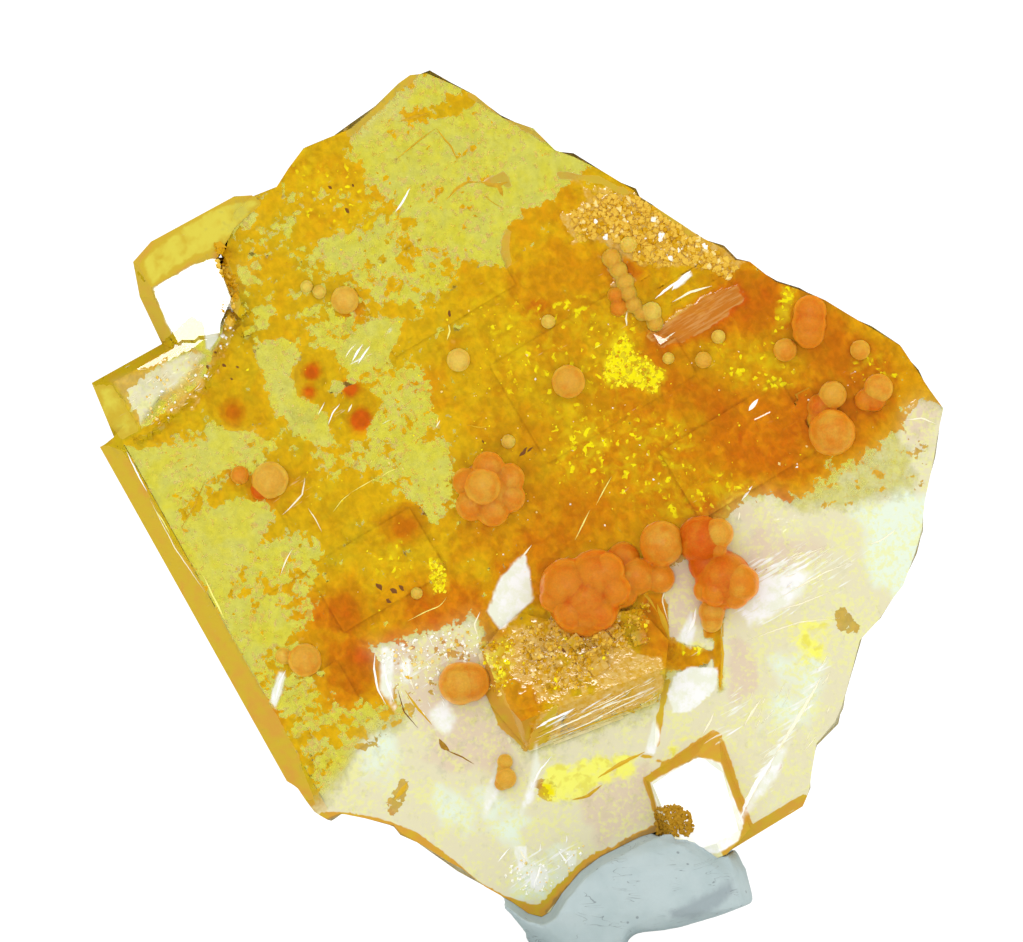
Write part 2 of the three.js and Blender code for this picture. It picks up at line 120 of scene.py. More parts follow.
def put(tree, kind, sockets=None, out=0, **settings):
    """A node with its settings, its sockets filled with numbers or joined to other nodes."""
    made = tree.nodes.new(kind)
    for key, value in settings.items():
        setattr(made, key, value)
    for key, value in (sockets or {}).items():
        if isinstance(value, bpy.types.NodeSocket):
            tree.links.new(value, made.inputs[key])
        else:
            made.inputs[key].default_value = value
    return made.outputs[out]


def in_mirror(tree):
    """1 where a polished face mirrors a thing, 0 where it is seen straight or through the crystal."""
    ray = tree.nodes.new("ShaderNodeLightPath").outputs
    return put(tree, "ShaderNodeMath", {0: ray["Is Glossy Ray"], 1: ray["Is Transmission Ray"]},
               operation="SUBTRACT", use_clamp=True)


world = bpy.data.worlds.new("surround")
bpy.context.scene.world = world
world.use_nodes = True
world.cycles.sampling_method = "NONE"
sky = world.node_tree
strength = put(sky, "ShaderNodeMapRange", {"Value": in_mirror(sky), "To Min": 1.26, "To Max": 0.02})
sky.nodes["Background"].inputs["Color"].default_value = (1, 1, 1, 1)
sky.links.new(strength, sky.nodes["Background"].inputs["Strength"])

# The table is a matt white board, painted, with the faint unevenness of a roller.
white_board, board, output = start("white_board")
roller = put(board, "ShaderNodeTexNoise", {"Scale": 40})
shade = put(board, "ShaderNodeMapRange", {"Value": roller, "To Min": 0.95, "To Max": 0.98})
paint = put(board, "ShaderNodeBsdfPrincipled", {
    "Base Color": shade, "Roughness": 0.9, "Specular IOR Level": 0})
# Seen in a polished face the board is painted near black, a painted dark reflection like the surround's.
mirrored = put(board, "ShaderNodeBsdfDiffuse", {"Color": (0.02, 0.02, 0.02, 1)})
either = put(board, "ShaderNodeMixShader", {0: in_mirror(board), 1: paint, 2: mirrored})
board.links.new(either, output.inputs["Surface"])
table_mesh = bpy.data.meshes.new("table")
table_mesh.from_pydata([(-2, -2, 0), (2, -2, 0), (2, 4, 0), (-2, 4, 0)], [], [(0, 1, 2, 3)])
table_mesh.materials.append(white_board)
stand("table", table_mesh)

# ---- The crystal: one thin square tablet of wulfenite with smaller tablets grown into it, clear lemon yellow
# where it is clean and stained honey and orange in ragged patches. It grew in one piece on its matrix and was
# broken off along its upper and right edges.
THICK = 1.5
GRID = 0.5
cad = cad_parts["wulfenite_crystal"]
shape = bmesh.new()
shape.from_mesh(cad.data)
bmesh.ops.remove_doubles(shape, verts=shape.verts, dist=1e-7)
bmesh.ops.dissolve_limit(shape, angle_limit=math.radians(0.3), verts=shape.verts, edges=shape.edges)
cuts = [(on_tablet(line * GRID, 0, 0), face_right) for line in range(-26, 27)]
cuts += [(on_tablet(0, 0, line * GRID), face_up) for line in range(58)]
for spot, across in cuts:
    bmesh.ops.bisect_plane(shape, geom=shape.verts[:] + shape.edges[:] + shape.faces[:], dist=1e-7,
                           plane_co=spot, plane_no=across)
bmesh.ops.triangulate(shape, faces=[f for f in shape.faces if len(f.verts) > 4])
shape.normal_update()
half_way = on_tablet(0, THICK / 2, 0).dot(face_out)
for longest in (0.315 * MM, 0.154 * MM):
    coarse = set()
    for face in shape.faces:
        if face.normal.dot(face_out) > 0.3 and face.calc_center_median().dot(face_out) > half_way:
            coarse.update(e for e in face.edges if e.calc_length() > longest)
    bmesh.ops.subdivide_edges(shape, edges=list(coarse), cuts=1, use_grid_fill=True)
bmesh.ops.triangulate(shape, faces=shape.faces[:])
crystal_mesh = bpy.data.meshes.new("wulfenite")
shape.to_mesh(crystal_mesh)
shape.free()
crystal = stand("wulfenite", crystal_mesh)

spots = np.zeros(len(crystal_mesh.vertices) * 3, np.float32)
crystal_mesh.vertices.foreach_get("co", spots)
spots = spots.reshape(-1, 3) * 1000
X = spots[:, 0] - TABLET_X
Z = (spots[:, 1] - TABLET_Y) * math.sin(LEAN) + spots[:, 2] * math.cos(LEAN)
Y = (spots[:, 1] - TABLET_Y) * math.cos(LEAN) - spots[:, 2] * math.sin(LEAN)
back = np.clip((Y - 0.5) / 0.5, 0, 1)


def path(*flat):
    """Points on the tablet, from x, z, x, z and so on in mm."""
    return list(zip(flat[::2], flat[1::2]))


def off_line(points):
    """How far each point of the crystal is from a line along those points, in mm."""
    nearest = np.full(len(X), 1e9, np.float32)
    for (ax, az), (bx, bz) in zip(points, points[1:] or points):
        ex, ez = bx - ax, bz - az
        along = np.clip(((X - ax) * ex + (Z - az) * ez) / (ex * ex + ez * ez + 1e-9), 0, 1)
        nearest = np.minimum(nearest, (X - ax - ex * along) ** 2 + (Z - az - ez * along) ** 2)
    return np.sqrt(nearest)


def within(points):
    """How far inside a closed outline each point of the crystal is, in mm; negative outside."""
    off = off_line(points + points[:1])
    inner = np.zeros(len(X), bool)
    for (ax, az), (bx, bz) in zip(points, points[1:] + points[:1]):
        if az != bz:
            inner ^= ((az <= Z) != (bz <= Z)) & (X < (bx - ax) * (Z - az) / (bz - az) + ax)
    return np.where(inner, off, -off)


def lay(onto, level, soft, depth):
    """Lays a level over a field wherever depth is above 0, fading over soft mm either side of its edge."""
    share = np.clip(0.5 + depth / (2 * soft), 0, 1)
    share = share * share * (3 - 2 * share)
    onto += (level - onto) * share


def let_down(proud, level):
    """Lets the crystal's proud points down to a level, in mm back from the main face."""
    level = np.zeros(len(X), np.float32) + level
    spots[proud] += np.outer(level[proud] - Y[proud], -np.array(face_out))
    Y[proud] = level[proud]


# The crumbly crusts are let down to the faces that they grew on here; fine crystals go on them below.
HARDLY = 0.001
for level, outline in (
    (0.0, path(1.05, 23.25, 1.65, 24.45, 3.9, 24.45, 6, 22.95, 7.65, 21.84, 6.75, 20.7, 5.4, 19.35,
        3.6, 19.8, 2.4, 21.9)),
    (-0.7, path(-1.2, 10.5, 1.2, 11.7, 4.5, 11.7, 5.1, 9, 2.4, 8.7, -0.6, 8.7)),
    (0.0, path(-12.12, 16.32, -11.1, 16.56, -9.39, 18.06, -8.85, 19.38, -7.74, 19.56, -7.74, 17.1,
        -10.2, 14.7, -12.12, 14.7)),
    (-0.085, path(6.6, 18.6, 9.3, 18.6, 9.3, 16.5, 6.6, 16.5)),
    (0.0, path(6.06, 11.58, 9.54, 12.6, 10.56, 11.7, 10.56, 8.1, 7.5, 6.9)),
    (0.0, path(-3.9, 6, -0.75, 7.92, 1.08, 6.3, -2.25, 3.66)),
):
    let_down((within(outline) > 0) & (Y < level - HARDLY), level)
# The block's slab runs out in the main face at the lower right.
SLAB_RISE, SLAB_RUN = 0.12, 1.6
SLAB = path(-14.4, 20.7, -8.82, 19.8, -9.45, 18.15, -11.16, 16.62, -12.12, 16.38, -13.8, 14.7)
SLAB_CORNER = path(-11.85, 19.14, -8.7, 19.65, -8.4, 17.7, -11.1, 16.35, -12.06, 16.35)
slab_level = -SLAB_RISE * np.clip(within(SLAB) / SLAB_RUN, 0, 1)
let_down((slab_level < 0) & (within(SLAB_CORNER) > 0) & (Y < slab_level - HARDLY), slab_level)
# The ribs on the askew crystal's bevel are worn nearly flat.
RIDGE_X, RIDGE_Z, RIDGE_TILT = 0.3, 7.15, 0.369
BEVEL_WIDE, BEVEL_TOP, BEVEL_DROP, RIB = 0.95, 0.1, 0.6, 0.03
BEVEL = path(-0.15, 6.75, 0.24, 8.1, 1.2, 9, 4.05, 10.05, 4.8, 9, 4.5, 7.95)
from_ridge = (Z - RIDGE_Z) * math.cos(RIDGE_TILT) - (X - RIDGE_X) * math.sin(RIDGE_TILT)
ribs = np.clip(-BEVEL_TOP - BEVEL_DROP * from_ridge / BEVEL_WIDE, -BEVEL_TOP - BEVEL_DROP, 0) - RIB
let_down((within(BEVEL) > 0) & (Y < ribs) & (from_ridge < BEVEL_WIDE), ribs)
# The crust on the back is let down to it round the block's corner.
CRUST_X, CRUST_Z, CRUST_REACH = -7.0, 19.2, 2.0
let_down((Y > THICK) & (np.hypot(X - CRUST_X, Z - CRUST_Z) < CRUST_REACH), THICK)
crystal_mesh.vertices.foreach_set("co", (spots * MM).ravel())
crystal_mesh.update()

# Small places in the painted milky veil that are painted in more than one way.
HONEY_PATCH = path(3.6, 11.82, 4.26, 12, 4.44, 11.4, 4.44, 10.56, 5.4, 10.26, 5.82, 10.2, 5.7, 9.78,
    5.1, 9.54, 4.32, 9.66, 3.6, 9.9)
HONEY_CHIP = path(5.49, 11.46, 5.91, 11.46, 5.88, 10.8, 5.73, 10.44, 5.52, 10.62)
HONEY_BAR = path(5.88, 11.34, 6, 11.34, 6.12, 9, 6.03, 8.85, 5.79, 9.66, 5.79, 10.2)
HONEY_FLAKE = path(0.63, 6.24, 0.96, 6.21, 1.08, 5.88, 0.84, 5.7, 0.6, 5.85)
PINK_WINDOW = path(4.44, 12.75, 5.1, 12.9, 5.4, 11.7, 5.25, 10.2, 4.5, 10.5, 4.2, 11.7)
PINK_CORNER = path(-4.44, 10.2, -1.5, 10.95, -1.05, 9, -1.8, 7.65, -2.7, 7.95, -4.05, 9)

# Stain, above 0 where the crystal is stained and below 0 where it is clear, is ragged around 0.
stain = np.full(len(X), 0.55, np.float32)
for level, soft, outline in (
    (0.3, 0.8, path(-9.6, 24, -2.4, 24, -2.1, 19.8, -8.4, 19.5, -8.85, 21)),
    (-0.5, 0.3, path(-5.04, 25.8, -3.75, 26.76, -3.15, 27.48, -1.5, 27.15, -0.6, 26.4, 0.75, 25.5,
        1.95, 24.75, 1.35, 24.24, 0.96, 23.7, 0.3, 23.4, -0.36, 22.86, -0.54, 22.35, -0.39, 21.66,
        -1.5, 21.84, -1.95, 21.66, -2.4, 21.84, -2.85, 22.35, -3, 23.25, -3.6, 23.34, -4.05, 23.55,
        -4.44, 24.15, -4.74, 24.6, -5.1, 25.2)),
    (-0.3, 0.6, path(-5.04, 25.8, -4.05, 26.4, -2.7, 25.8, -2.4, 24.3, -2.64, 22.5, -3, 23.25, -3.6, 23.34,
        -4.35, 24)),
    (-0.8, 0.3, path(-0.6, 26.4, 2.1, 24.75, 1.2, 24, 0.3, 23.55, -0.45, 23.85, -0.6, 25.2)),
    (0.3, 0.12, path(-3.6, 26.1, -2.7, 26.58, -2.16, 26.7, -1.62, 27, -1.32, 26.79, -1.56, 26.34,
        -1.95, 26.16, -2.7, 26.16, -3.36, 25.98)),
    (-0.08, 0.35, path(-6.24, 22.5, -5.1, 22.65, -4.35, 23.4, -3.6, 23.34, -2.52, 22.95, -2.25, 21.84,
        -1.8, 21.3, -2.4, 20.7, -3.6, 20.7, -5.1, 21.15, -6, 21.75)),
    (-0.42, 0.2, path(-6.18, 22.56, -5.55, 22.62, -5.1, 22.74, -4.74, 22.2, -5.1, 21.84, -5.55, 21.66,
        -5.94, 21.96)),
    (-0.3, 0.2, path(-5.25, 21.66, -4.74, 21.96, -4.2, 21.45, -3.6, 20.7, -4.05, 20.55, -4.74, 21.06)),
    (-0.3, 0.2, path(-8.55, 21.84, -8.1, 22.05, -7.74, 21.84, -7.86, 21.15, -8.34, 21)),
    (-0.4, 0.2, path(-8.76, 23.55, -8.25, 23.64, -7.74, 23.25, -7.95, 22.86, -8.52, 22.8)),
    (-0.5, 0.15, path(-6.93, 23.85, -6.78, 24.06, -6.72, 23.88, -6.9, 23.7)),
    (-0.4, 0.2, path(-8.04, 20.4, -7.35, 20.55, -7.5, 19.95, -7.95, 19.8)),
    (-1, 0.12, path(-5.61, 19.2, -4.95, 19.8, -4.26, 20.16, -3.48, 20.1, -3.72, 19.5, -3.96, 18.96,
        -4.44, 18.54, -5.04, 18.48, -5.4, 18.84)),
    (-0.3, 0.25, path(-6.36, 19.95, -5.1, 20.16, -4.95, 19.8, -5.55, 19.2, -6.15, 19.35)),
    (-0.75, 0.2, path(-7.95, 19.2, -7.35, 19.59, -6.66, 19.5, -6.6, 18.6, -6.6, 17.7, -6.24, 17.64,
        -5.76, 17.1, -5.64, 16.5, -6, 16.26, -6.6, 16.65, -7.05, 17.1, -7.5, 17.55, -7.74, 18.45)),
    (-0.16, 0.4, path(-12.06, 16.14, -11.1, 16.5, -8.55, 16.95, -7.74, 16.8, -6.9, 16.2, -7.74, 15.6,
        -8.85, 15.3, -9.15, 14.85, -10.05, 14.34, -10.8, 14.7, -11.4, 15.45)),
    (-0.5, 0.25, path(-11.76, 16.2, -9.6, 16.35, -8.64, 16.05, -9.24, 15.36, -10.05, 15, -10.95, 15.15)),
    (-0.5, 0.25, path(-9.45, 16.5, -8.55, 17.1, -7.86, 16.74, -7.95, 16.05, -8.85, 15.84)),
    (-0.75, 0.25, path(-10.2, 13.95, -9.45, 14.4, -8.4, 14.7, -7.35, 14.55, -7.56, 13.8, -7.95, 13.2,
        -8.4, 12.84, -8.85, 12.24, -9.45, 12.84)),
    (-0.25, 0.3, path(-8.4, 13.35, -6.6, 13.8, -5.85, 13.35, -6, 12.45, -6.9, 12, -7.95, 11.4, -8.55, 12)),
    (-0.08, 0.4, path(-6.3, 16.2, -5.1, 16.5, -2.1, 16.74, -1.95, 14.1, -2.7, 13.95, -3.6, 14.7, -4.5, 15.3,
        -5.1, 15.6, -6, 15.3)),
    (-0.28, 0.3, path(-5.7, 18.15, -4.8, 18.6, -3, 18.75, -2.4, 17.1, -3.3, 16.5, -4.2, 16.5, -5.25, 17.1)),
    (-0.55, 0.25, path(-3.45, 16.05, -2.85, 16.5, -2.1, 16.2, -2.19, 14.7, -2.55, 14.04, -3.24, 14.76)),
    (-0.55, 0.2, path(-3.84, 16.5, -3.45, 16.74, -3, 16.5, -3.45, 16.14)),
    (-0.8, 0.2, path(-11.7, 16.2, -10.8, 16.14, -10.2, 13.95, -9.15, 12.9, -8.4, 11.7, -7.74, 10.2,
        -6.9, 8.55, -7.74, 9, -8.85, 10.95, -9.6, 12.3, -10.35, 13.35, -10.95, 14.55)),
    (-0.05, 0.45, path(-8.85, 12, -6.6, 12.9, -6, 11.7, -6.6, 10.2, -5.7, 8.7, -3, 8.55, -4.2, 7.8,
        -5.1, 5.7, -6.15, 6, -6.9, 7.5, -7.74, 9, -8.4, 10.5)),
    (-0.45, 0.25, path(-8.64, 11.64, -7.74, 12, -7.05, 11.7, -7.2, 10.5, -7.74, 10.05, -8.25, 10.65)),
    (-0.7, 0.25, path(-11.76, 18, -10.8, 18.75, -9.9, 19.14, -9.15, 19.2, -9.15, 18.15, -9.9, 17.55,
        -10.8, 16.74, -11.25, 16.74)),
    (-0.95, 0.3, path(-6.6, 4.8, -5.7, 6.45, -5.04, 7.35, -4.2, 7.95, -2.85, 8.4, -4.05, 9.66, -4.44, 10.2,
        -2.4, 10.74, -1.44, 11.16, -0.9, 10.5, -0.99, 9, 0.15, 7.14, 1.2, 7.65, 3.9, 8.55, 4.44, 9,
        4.56, 9.9, 4.2, 11.1, 3.9, 11.7, 4.44, 12.6, 5.1, 12.84, 5.4, 11.7, 6.06, 11.34, 6.3, 12,
        6.21, 12.9, 6.18, 13.8, 6.42, 14.61, 7.35, 14.85, 8.4, 14.61, 9.3, 14.94, 10.5, 15.36, 10.95, 16.2,
        11.55, 16.95, 12, 17.64, 12.9, 17.55, 13.5, 17.1, 13.5, 0.9, -6.6, 0.9)),
    (-0.3, 0.4, path(8.1, 14.7, 9.6, 15.6, 10.8, 16.5, 12.3, 16.8, 12.24, 15, 10.8, 14.7, 9.3, 14.25)),
    (-0.22, 0.3, path(-4.05, 10.35, -1.5, 10.86, -1.14, 10.05, -2.4, 9.75, -2.25, 8.7, -3.24, 8.52,
        -3.72, 9)),
    (0.9, 0.1, path(-1.14, 10.5, 0.3, 11.04, 3.9, 11.7, 4.44, 10.5, 4.32, 9, 2.4, 9, 0.75, 8.4, 0.21, 7.14,
        -0.45, 7.86, -0.9, 8.7)),
    (0.9, 0.08, HONEY_PATCH), (0.9, 0.08, HONEY_CHIP), (0.9, 0.05, HONEY_BAR),
    (0.95, 0.8, path(-0.6, 20.7, 1.2, 23.25, 3.6, 21.3, 7.2, 21.3, 10.8, 19.2, 10.8, 17.4, 7.8, 15.6,
        5.4, 14.1, 1.2, 13.5, -1.2, 15.9)),
    (0.5, 0.15, path(9.36, 11.34, 9.66, 11.58, 9.9, 11.34, 10.26, 10.86, 9.96, 10.62, 9.54, 10.8)),
    (0.4, 0.2, path(7.56, 6.84, 7.86, 6.84, 7.86, 6.45, 7.59, 6.45)),
    (0.4, 0.15, path(-4.02, 5.7, -3.6, 6.36, -3.24, 6.3, -3.54, 5.34, -3.84, 5.16)),
    (0.2, 0.3, path(-5.04, 7.44, -4.2, 7.95, -3.6, 8.34, -3.96, 7.5, -4.65, 6.9)), (0.9, 0.06, HONEY_FLAKE),
):
    lay(stain, level, soft, within(outline))

# Where a ball of mimetite sits on the back, the crystal is stained through in front of it.
for reach, middle in (
    (0.55, path(-6.3, 18.45)), (0.62, path(-4.89, 17.49)), (0.55, path(-8.55, 17.34)),
    (0.6, path(-3.45, 13.95)), (0.8, path(-5.01, 11.4)), (0.7, path(-4.89, 9.51)), (0.8, path(6.9, 20.79)),
    (1.0, path(5.61, 17.49)), (0.3, path(0.75, 6.06)),
):
    lay(stain, 1.1, 0.2, reach - off_line(middle))

lay(stain, 0.9, 0.1, 0.26 - off_line(path(-11.34, 16.47, -10.26, 17.28, -9.39, 18.09, -8.94, 18.84,
    -8.7, 19.5)))
lay(stain, 0.9, 0.1, 0.2 - off_line(path(-9.18, 22.62, -8.94, 21.84, -8.61, 21.06, -8.49, 20.55,
    -8.7, 19.35)))

# Warmth of the stain: 0 olive gold, 0.5 orange honey, 1 red brown.
warmth = np.full(len(X), 0.12, np.float32)
for level, soft, outline in (
    (0.32, 2.5, path(-0.45, 22.5, 1.2, 24, 3.6, 24, 5.4, 22.2, 7.2, 20.7, 9, 19.8, 8.4, 17.1, 5.4, 11.7,
        0, 10.5, -2.4, 11.7, -3, 13.5, -1.5, 17.1, -0.6, 19.8)),
    (0.42, 1, path(-0.3, 22.8, 0.9, 23.55, 2.4, 23.25, 2.4, 20.7, 1.2, 20.1, 0, 21)),
    (0.72, 1.2, path(3.6, 17.7, 5.1, 19.8, 6.6, 21.84, 10.2, 20.1, 12, 18.6, 11.4, 16.8, 9.9, 15.6, 8.1, 15,
        7.5, 14.1, 6.6, 15.3, 3.9, 15.6)),
    (0.85, 0.7, path(6.75, 21.96, 8.4, 21.15, 8.1, 19.95, 6.75, 19.8, 5.4, 19.2, 5.1, 19.8)),
    (0.3, 0.7, path(5.4, 19.35, 8.4, 19.65, 8.4, 18.45, 6.45, 17.85, 5.1, 18.3)),
    (0.85, 0.8, path(4.35, 18.3, 6, 17.85, 8.4, 18.15, 9.9, 16.5, 8.1, 15.6, 6.6, 15.75, 5.4, 16.5,
        4.2, 16.8)),
    (0.95, 0.4, path(6.3, 16.95, 8.1, 16.86, 8.25, 16.05, 6.75, 15.96)),
    (0.55, 1, path(-6.6, 12, -3, 12.3, -0.6, 11.7, -1.5, 10.5, -4.2, 10.5, -3.9, 8.7, -5.7, 8.7,
        -6.6, 10.2)),
    (0.2, 0.8, path(-6.9, 24.9, -4.8, 25.2, -4.2, 23.7, -5.7, 22.8, -6.9, 23.25)), (0.62, 0.1, HONEY_PATCH),
    (0.8, 0.1, HONEY_CHIP), (0.9, 0.1, HONEY_FLAKE),
    (0.45, 0.1, path(5.82, 11.34, 6.06, 11.34, 6.18, 9, 6.03, 8.79, 5.73, 9.66)),
):
    lay(warmth, level, soft, within(outline))
for level, reach, middle in (
    (1, 0.3, path(-4.77, 17.1)), (1, 0.22, path(-5.1, 18.06)), (0.8, 0.22, path(-6.24, 18.54)),
    (0.9, 0.18, path(-6.33, 17.94)), (0.95, 0.3, path(-8.61, 17.34)), (0.9, 0.45, path(-3.45, 13.95)),
    (1, 0.45, path(-5.25, 11.34)), (1, 0.35, path(-5.94, 11.34)), (1.1, 0.4, path(-4.74, 10.05)),
    (0.85, 0.5, path(-5.1, 9)), (0.9, 0.7, path(-2.4, 11.25)), (1, 0.4, path(-3.75, 10.35)),
    (0.85, 0.6, path(-1.65, 11.55)), (0.75, 0.5, path(-1.05, 13.8)), (0.75, 0.7, path(0.9, 13.05)),
    (0.45, 0.8, path(2.4, 14.7)), (0.7, 0.7, path(2.4, 15.6)), (0.75, 0.6, path(4.05, 15.3)),
    (0.8, 0.5, path(5.4, 14.4)), (0.85, 0.5, path(4.2, 19.35)), (0.55, 0.5, path(-2.7, 18.15)),
    (1.15, 0.28, path(-8.43, 15.48)), (1.1, 0.35, path(-7.74, 14.94)), (0.85, 0.35, path(0.6, 20.4)),
    (1, 0.4, path(-7.62, 8.25)), (0.85, 0.35, path(-5.04, 20.4)), (0.95, 0.45, path(10.35, 17.7)),
    (0.8, 0.4, path(8.85, 16.5)), (0.95, 0.45, path(3.06, 21.6)), (1.0, 0.35, path(9.3, 19.8)),
    (0.9, 0.3, path(-0.45, 12.6)), (0.95, 0.35, path(-3, 10.5)), (0.9, 0.35, path(0.75, 12)),
    (0.9, 0.3, path(7.86, 14.7)),
):
    lay(warmth, level, reach, reach - off_line(middle))
for level, soft, outline in (
    (-0.6, 0.1, path(-11.4, 22.02, -10.2, 22.86, -9.15, 23.52, -8.1, 23.79, -7.86, 23.58, -8.55, 22.86,
        -8.94, 22.2, -9.75, 21.75, -11.01, 21.06)),
    (-0.35, 0.15, path(-12.75, 18.09, -12.24, 18.15, -11.4, 16.8, -11.94, 16.5, -12.36, 17.1)),
    (0.35, 0.3, path(-9.6, 11.4, -7.74, 9, -6.18, 5.7, -6.9, 5.7)),
    (0.05, 0.1, path(-11.76, 21.84, -11.58, 21.84, -11.22, 21.06, -10.62, 19.68, -10.71, 19.44,
        -11.25, 20.16)),
    (0.25, 0.06, path(-11.76, 21.84, -11.46, 22.2, -11.1, 22.5, -10.2, 23.1, -9.15, 23.7, -8.04, 23.94,
        -8.04, 23.73, -9.12, 23.49, -10.14, 22.86, -10.98, 22.26, -11.4, 21.78)),
    (0.2, 0.06, path(-11.01, 21.06, -10.8, 21.36, -9.75, 22.02, -9, 22.26, -8.82, 22.02, -9.15, 21.84,
        -9.75, 21.66, -10.8, 21)),
    (0.6, 0.3, path(-1.08, 10.5, -0.45, 10.74, 0, 10.2, 0.75, 8.7, 0.6, 7.65, 0.21, 7.14, -0.45, 7.86,
        -0.96, 8.7)),
    (0.6, 0.6, path(2.7, 18.3, 5.4, 18.15, 6, 15.9, 4.2, 14.1, 1.2, 12.9, -0.6, 12.9, 0, 14.7, 2.4, 16.2)),
    (0.45, 0.3, path(3.48, 7.95, 7.2, 8.04, 9.45, 6.15, 9.3, 5.25, 6, 3.84, 3.6, 5.25)),
    (0.5, 0.3, path(-6.3, 5.7, -5.25, 5.7, -2.7, 4.95, 0, 3, 0.75, 1.8, -1.2, 2.1, -4.2, 4.2, -6.3, 4.8)),
):
    lay(warmth, level, soft, within(outline))
lay(warmth, 1.3, 0.12, 0.16 - off_line(path(0.84, 2.34, 1.35, 2.94, 1.95, 3.6, 2.52, 3.99, 3.6, 4.62,
    4.35, 4.86)))
for level, reach, middle in (
    (1.5, 0.28, path(-4.77, 17.1)), (1.4, 0.2, path(-5.1, 18.06)), (1.25, 0.22, path(-6.24, 18.54)),
    (1.35, 0.16, path(-6.33, 17.94)),
):
    lay(warmth, level, 0.1, reach - off_line(middle))
lay(warmth, 1.15, 0.15, within(path(3.84, 19.65, 4.26, 19.2, 5.4, 19.65, 6.9, 20.7, 6.54, 21.3, 5.4, 20.76,
    4.56, 20.16)))

# Grown side faces and broken rims, seen edge on: an even deep gold.
rim = np.zeros(len(X), np.float32)
for outline in (
    path(-11.7, 21.84, -11.46, 22.2, -11.1, 22.5, -10.2, 23.1, -9.15, 23.7, -8.04, 23.88, -7.74, 23.61,
        -8.55, 22.86, -8.94, 22.2, -9.15, 21.96, -9.75, 21.75, -11.01, 21.06),
    path(-11.76, 21.84, -11.34, 21.3, -11.01, 21.06, -10.44, 19.68, -10.71, 19.44, -11.25, 20.16,
        -11.55, 21),
    path(-12.96, 18.15, -12.24, 18.15, -11.4, 16.8, -11.94, 16.5, -12.45, 17.1, -12.84, 17.7),
    path(-12.75, 16.41, -11.94, 16.2, -10.95, 14.55, -10.35, 13.35, -9.6, 12.3, -8.85, 10.95, -7.74, 9,
        -6.66, 7.05, -6.18, 5.7, -6.9, 5.7, -8.4, 8.55, -9.9, 11.4, -11.4, 13.95, -12.36, 15.75),
    path(8.49, 5.88, 9.06, 5.7, 8.1, 5.04, 6.9, 4.44, 6.06, 4.02, 5.85, 4.5, 6.9, 4.92),
    path(-6.06, 5.34, -5.25, 5.34, -4.2, 5.16, -3.12, 4.74, -2.13, 4.02, -1.23, 3.24, -0.45, 2.82,
        0.75, 2.46, 0.75, 1.95, -0.75, 2.55, -2.4, 3.75, -3.6, 4.35, -6, 4.95),
    path(3.66, 6.33, 5.76, 7.8, 6.06, 7.65, 6.12, 6.78, 5.34, 6.99, 3.96, 6.21),
    path(5.82, 7.77, 6.06, 7.65, 6.99, 4.92, 6.69, 4.74, 6.66, 5.01, 5.97, 6.84),
    path(3.66, 6.36, 3.9, 6.21, 4.2, 5.46, 3.99, 5.34),
    path(-1.08, 9, -0.6, 9.24, 0.21, 7.14, -0.15, 7.5, -0.6, 7.86),
    path(0.21, 7.14, 0.3, 7.65, 0.84, 8.34, 1.2, 8.7, 0.84, 7.44),
    path(-0.45, 22.86, -0.6, 22.2, -0.42, 21.6, -0.24, 21.84, -0.36, 22.35, -0.24, 22.74),
):
    lay(rim, 1, 0.07, within(outline))
for reach, points in (
    (0.17, path(0.6, 2.34, 1.2, 3, 1.8, 3.6, 2.4, 4.02)),
    (0.15, path(2.4, 3.99, 3, 4.26, 3.6, 4.62, 4.35, 4.86)), (0.09, path(4.44, 9.3, 4.2, 8.25, 4.11, 7.35)),
    (0.035, path(6.06, 11.1, 6.09, 9)), (0.05, path(3.6, 7.05, 4.8, 6.75)),
    (0.11, path(-5.1, 25.71, -4.35, 26.4, -3.6, 27.12, -3.15, 27.42)),
    (0.08, path(-1.5, 26.85, 0.75, 25.5)), (0.12, path(-0.36, 24.15, -0.51, 24.42, -0.96, 24.24)),
    (0.1, path(1.2, 24.45, 2.4, 24.3, 3.9, 23.55, 5.4, 22.5)),
    (0.15, path(-9.12, 22.5, -8.91, 21.84, -8.61, 21.06, -8.52, 20.61, -8.73, 19.95, -8.88, 19.35)),
):
    lay(rim, 1, 0.06, reach - off_line(points))

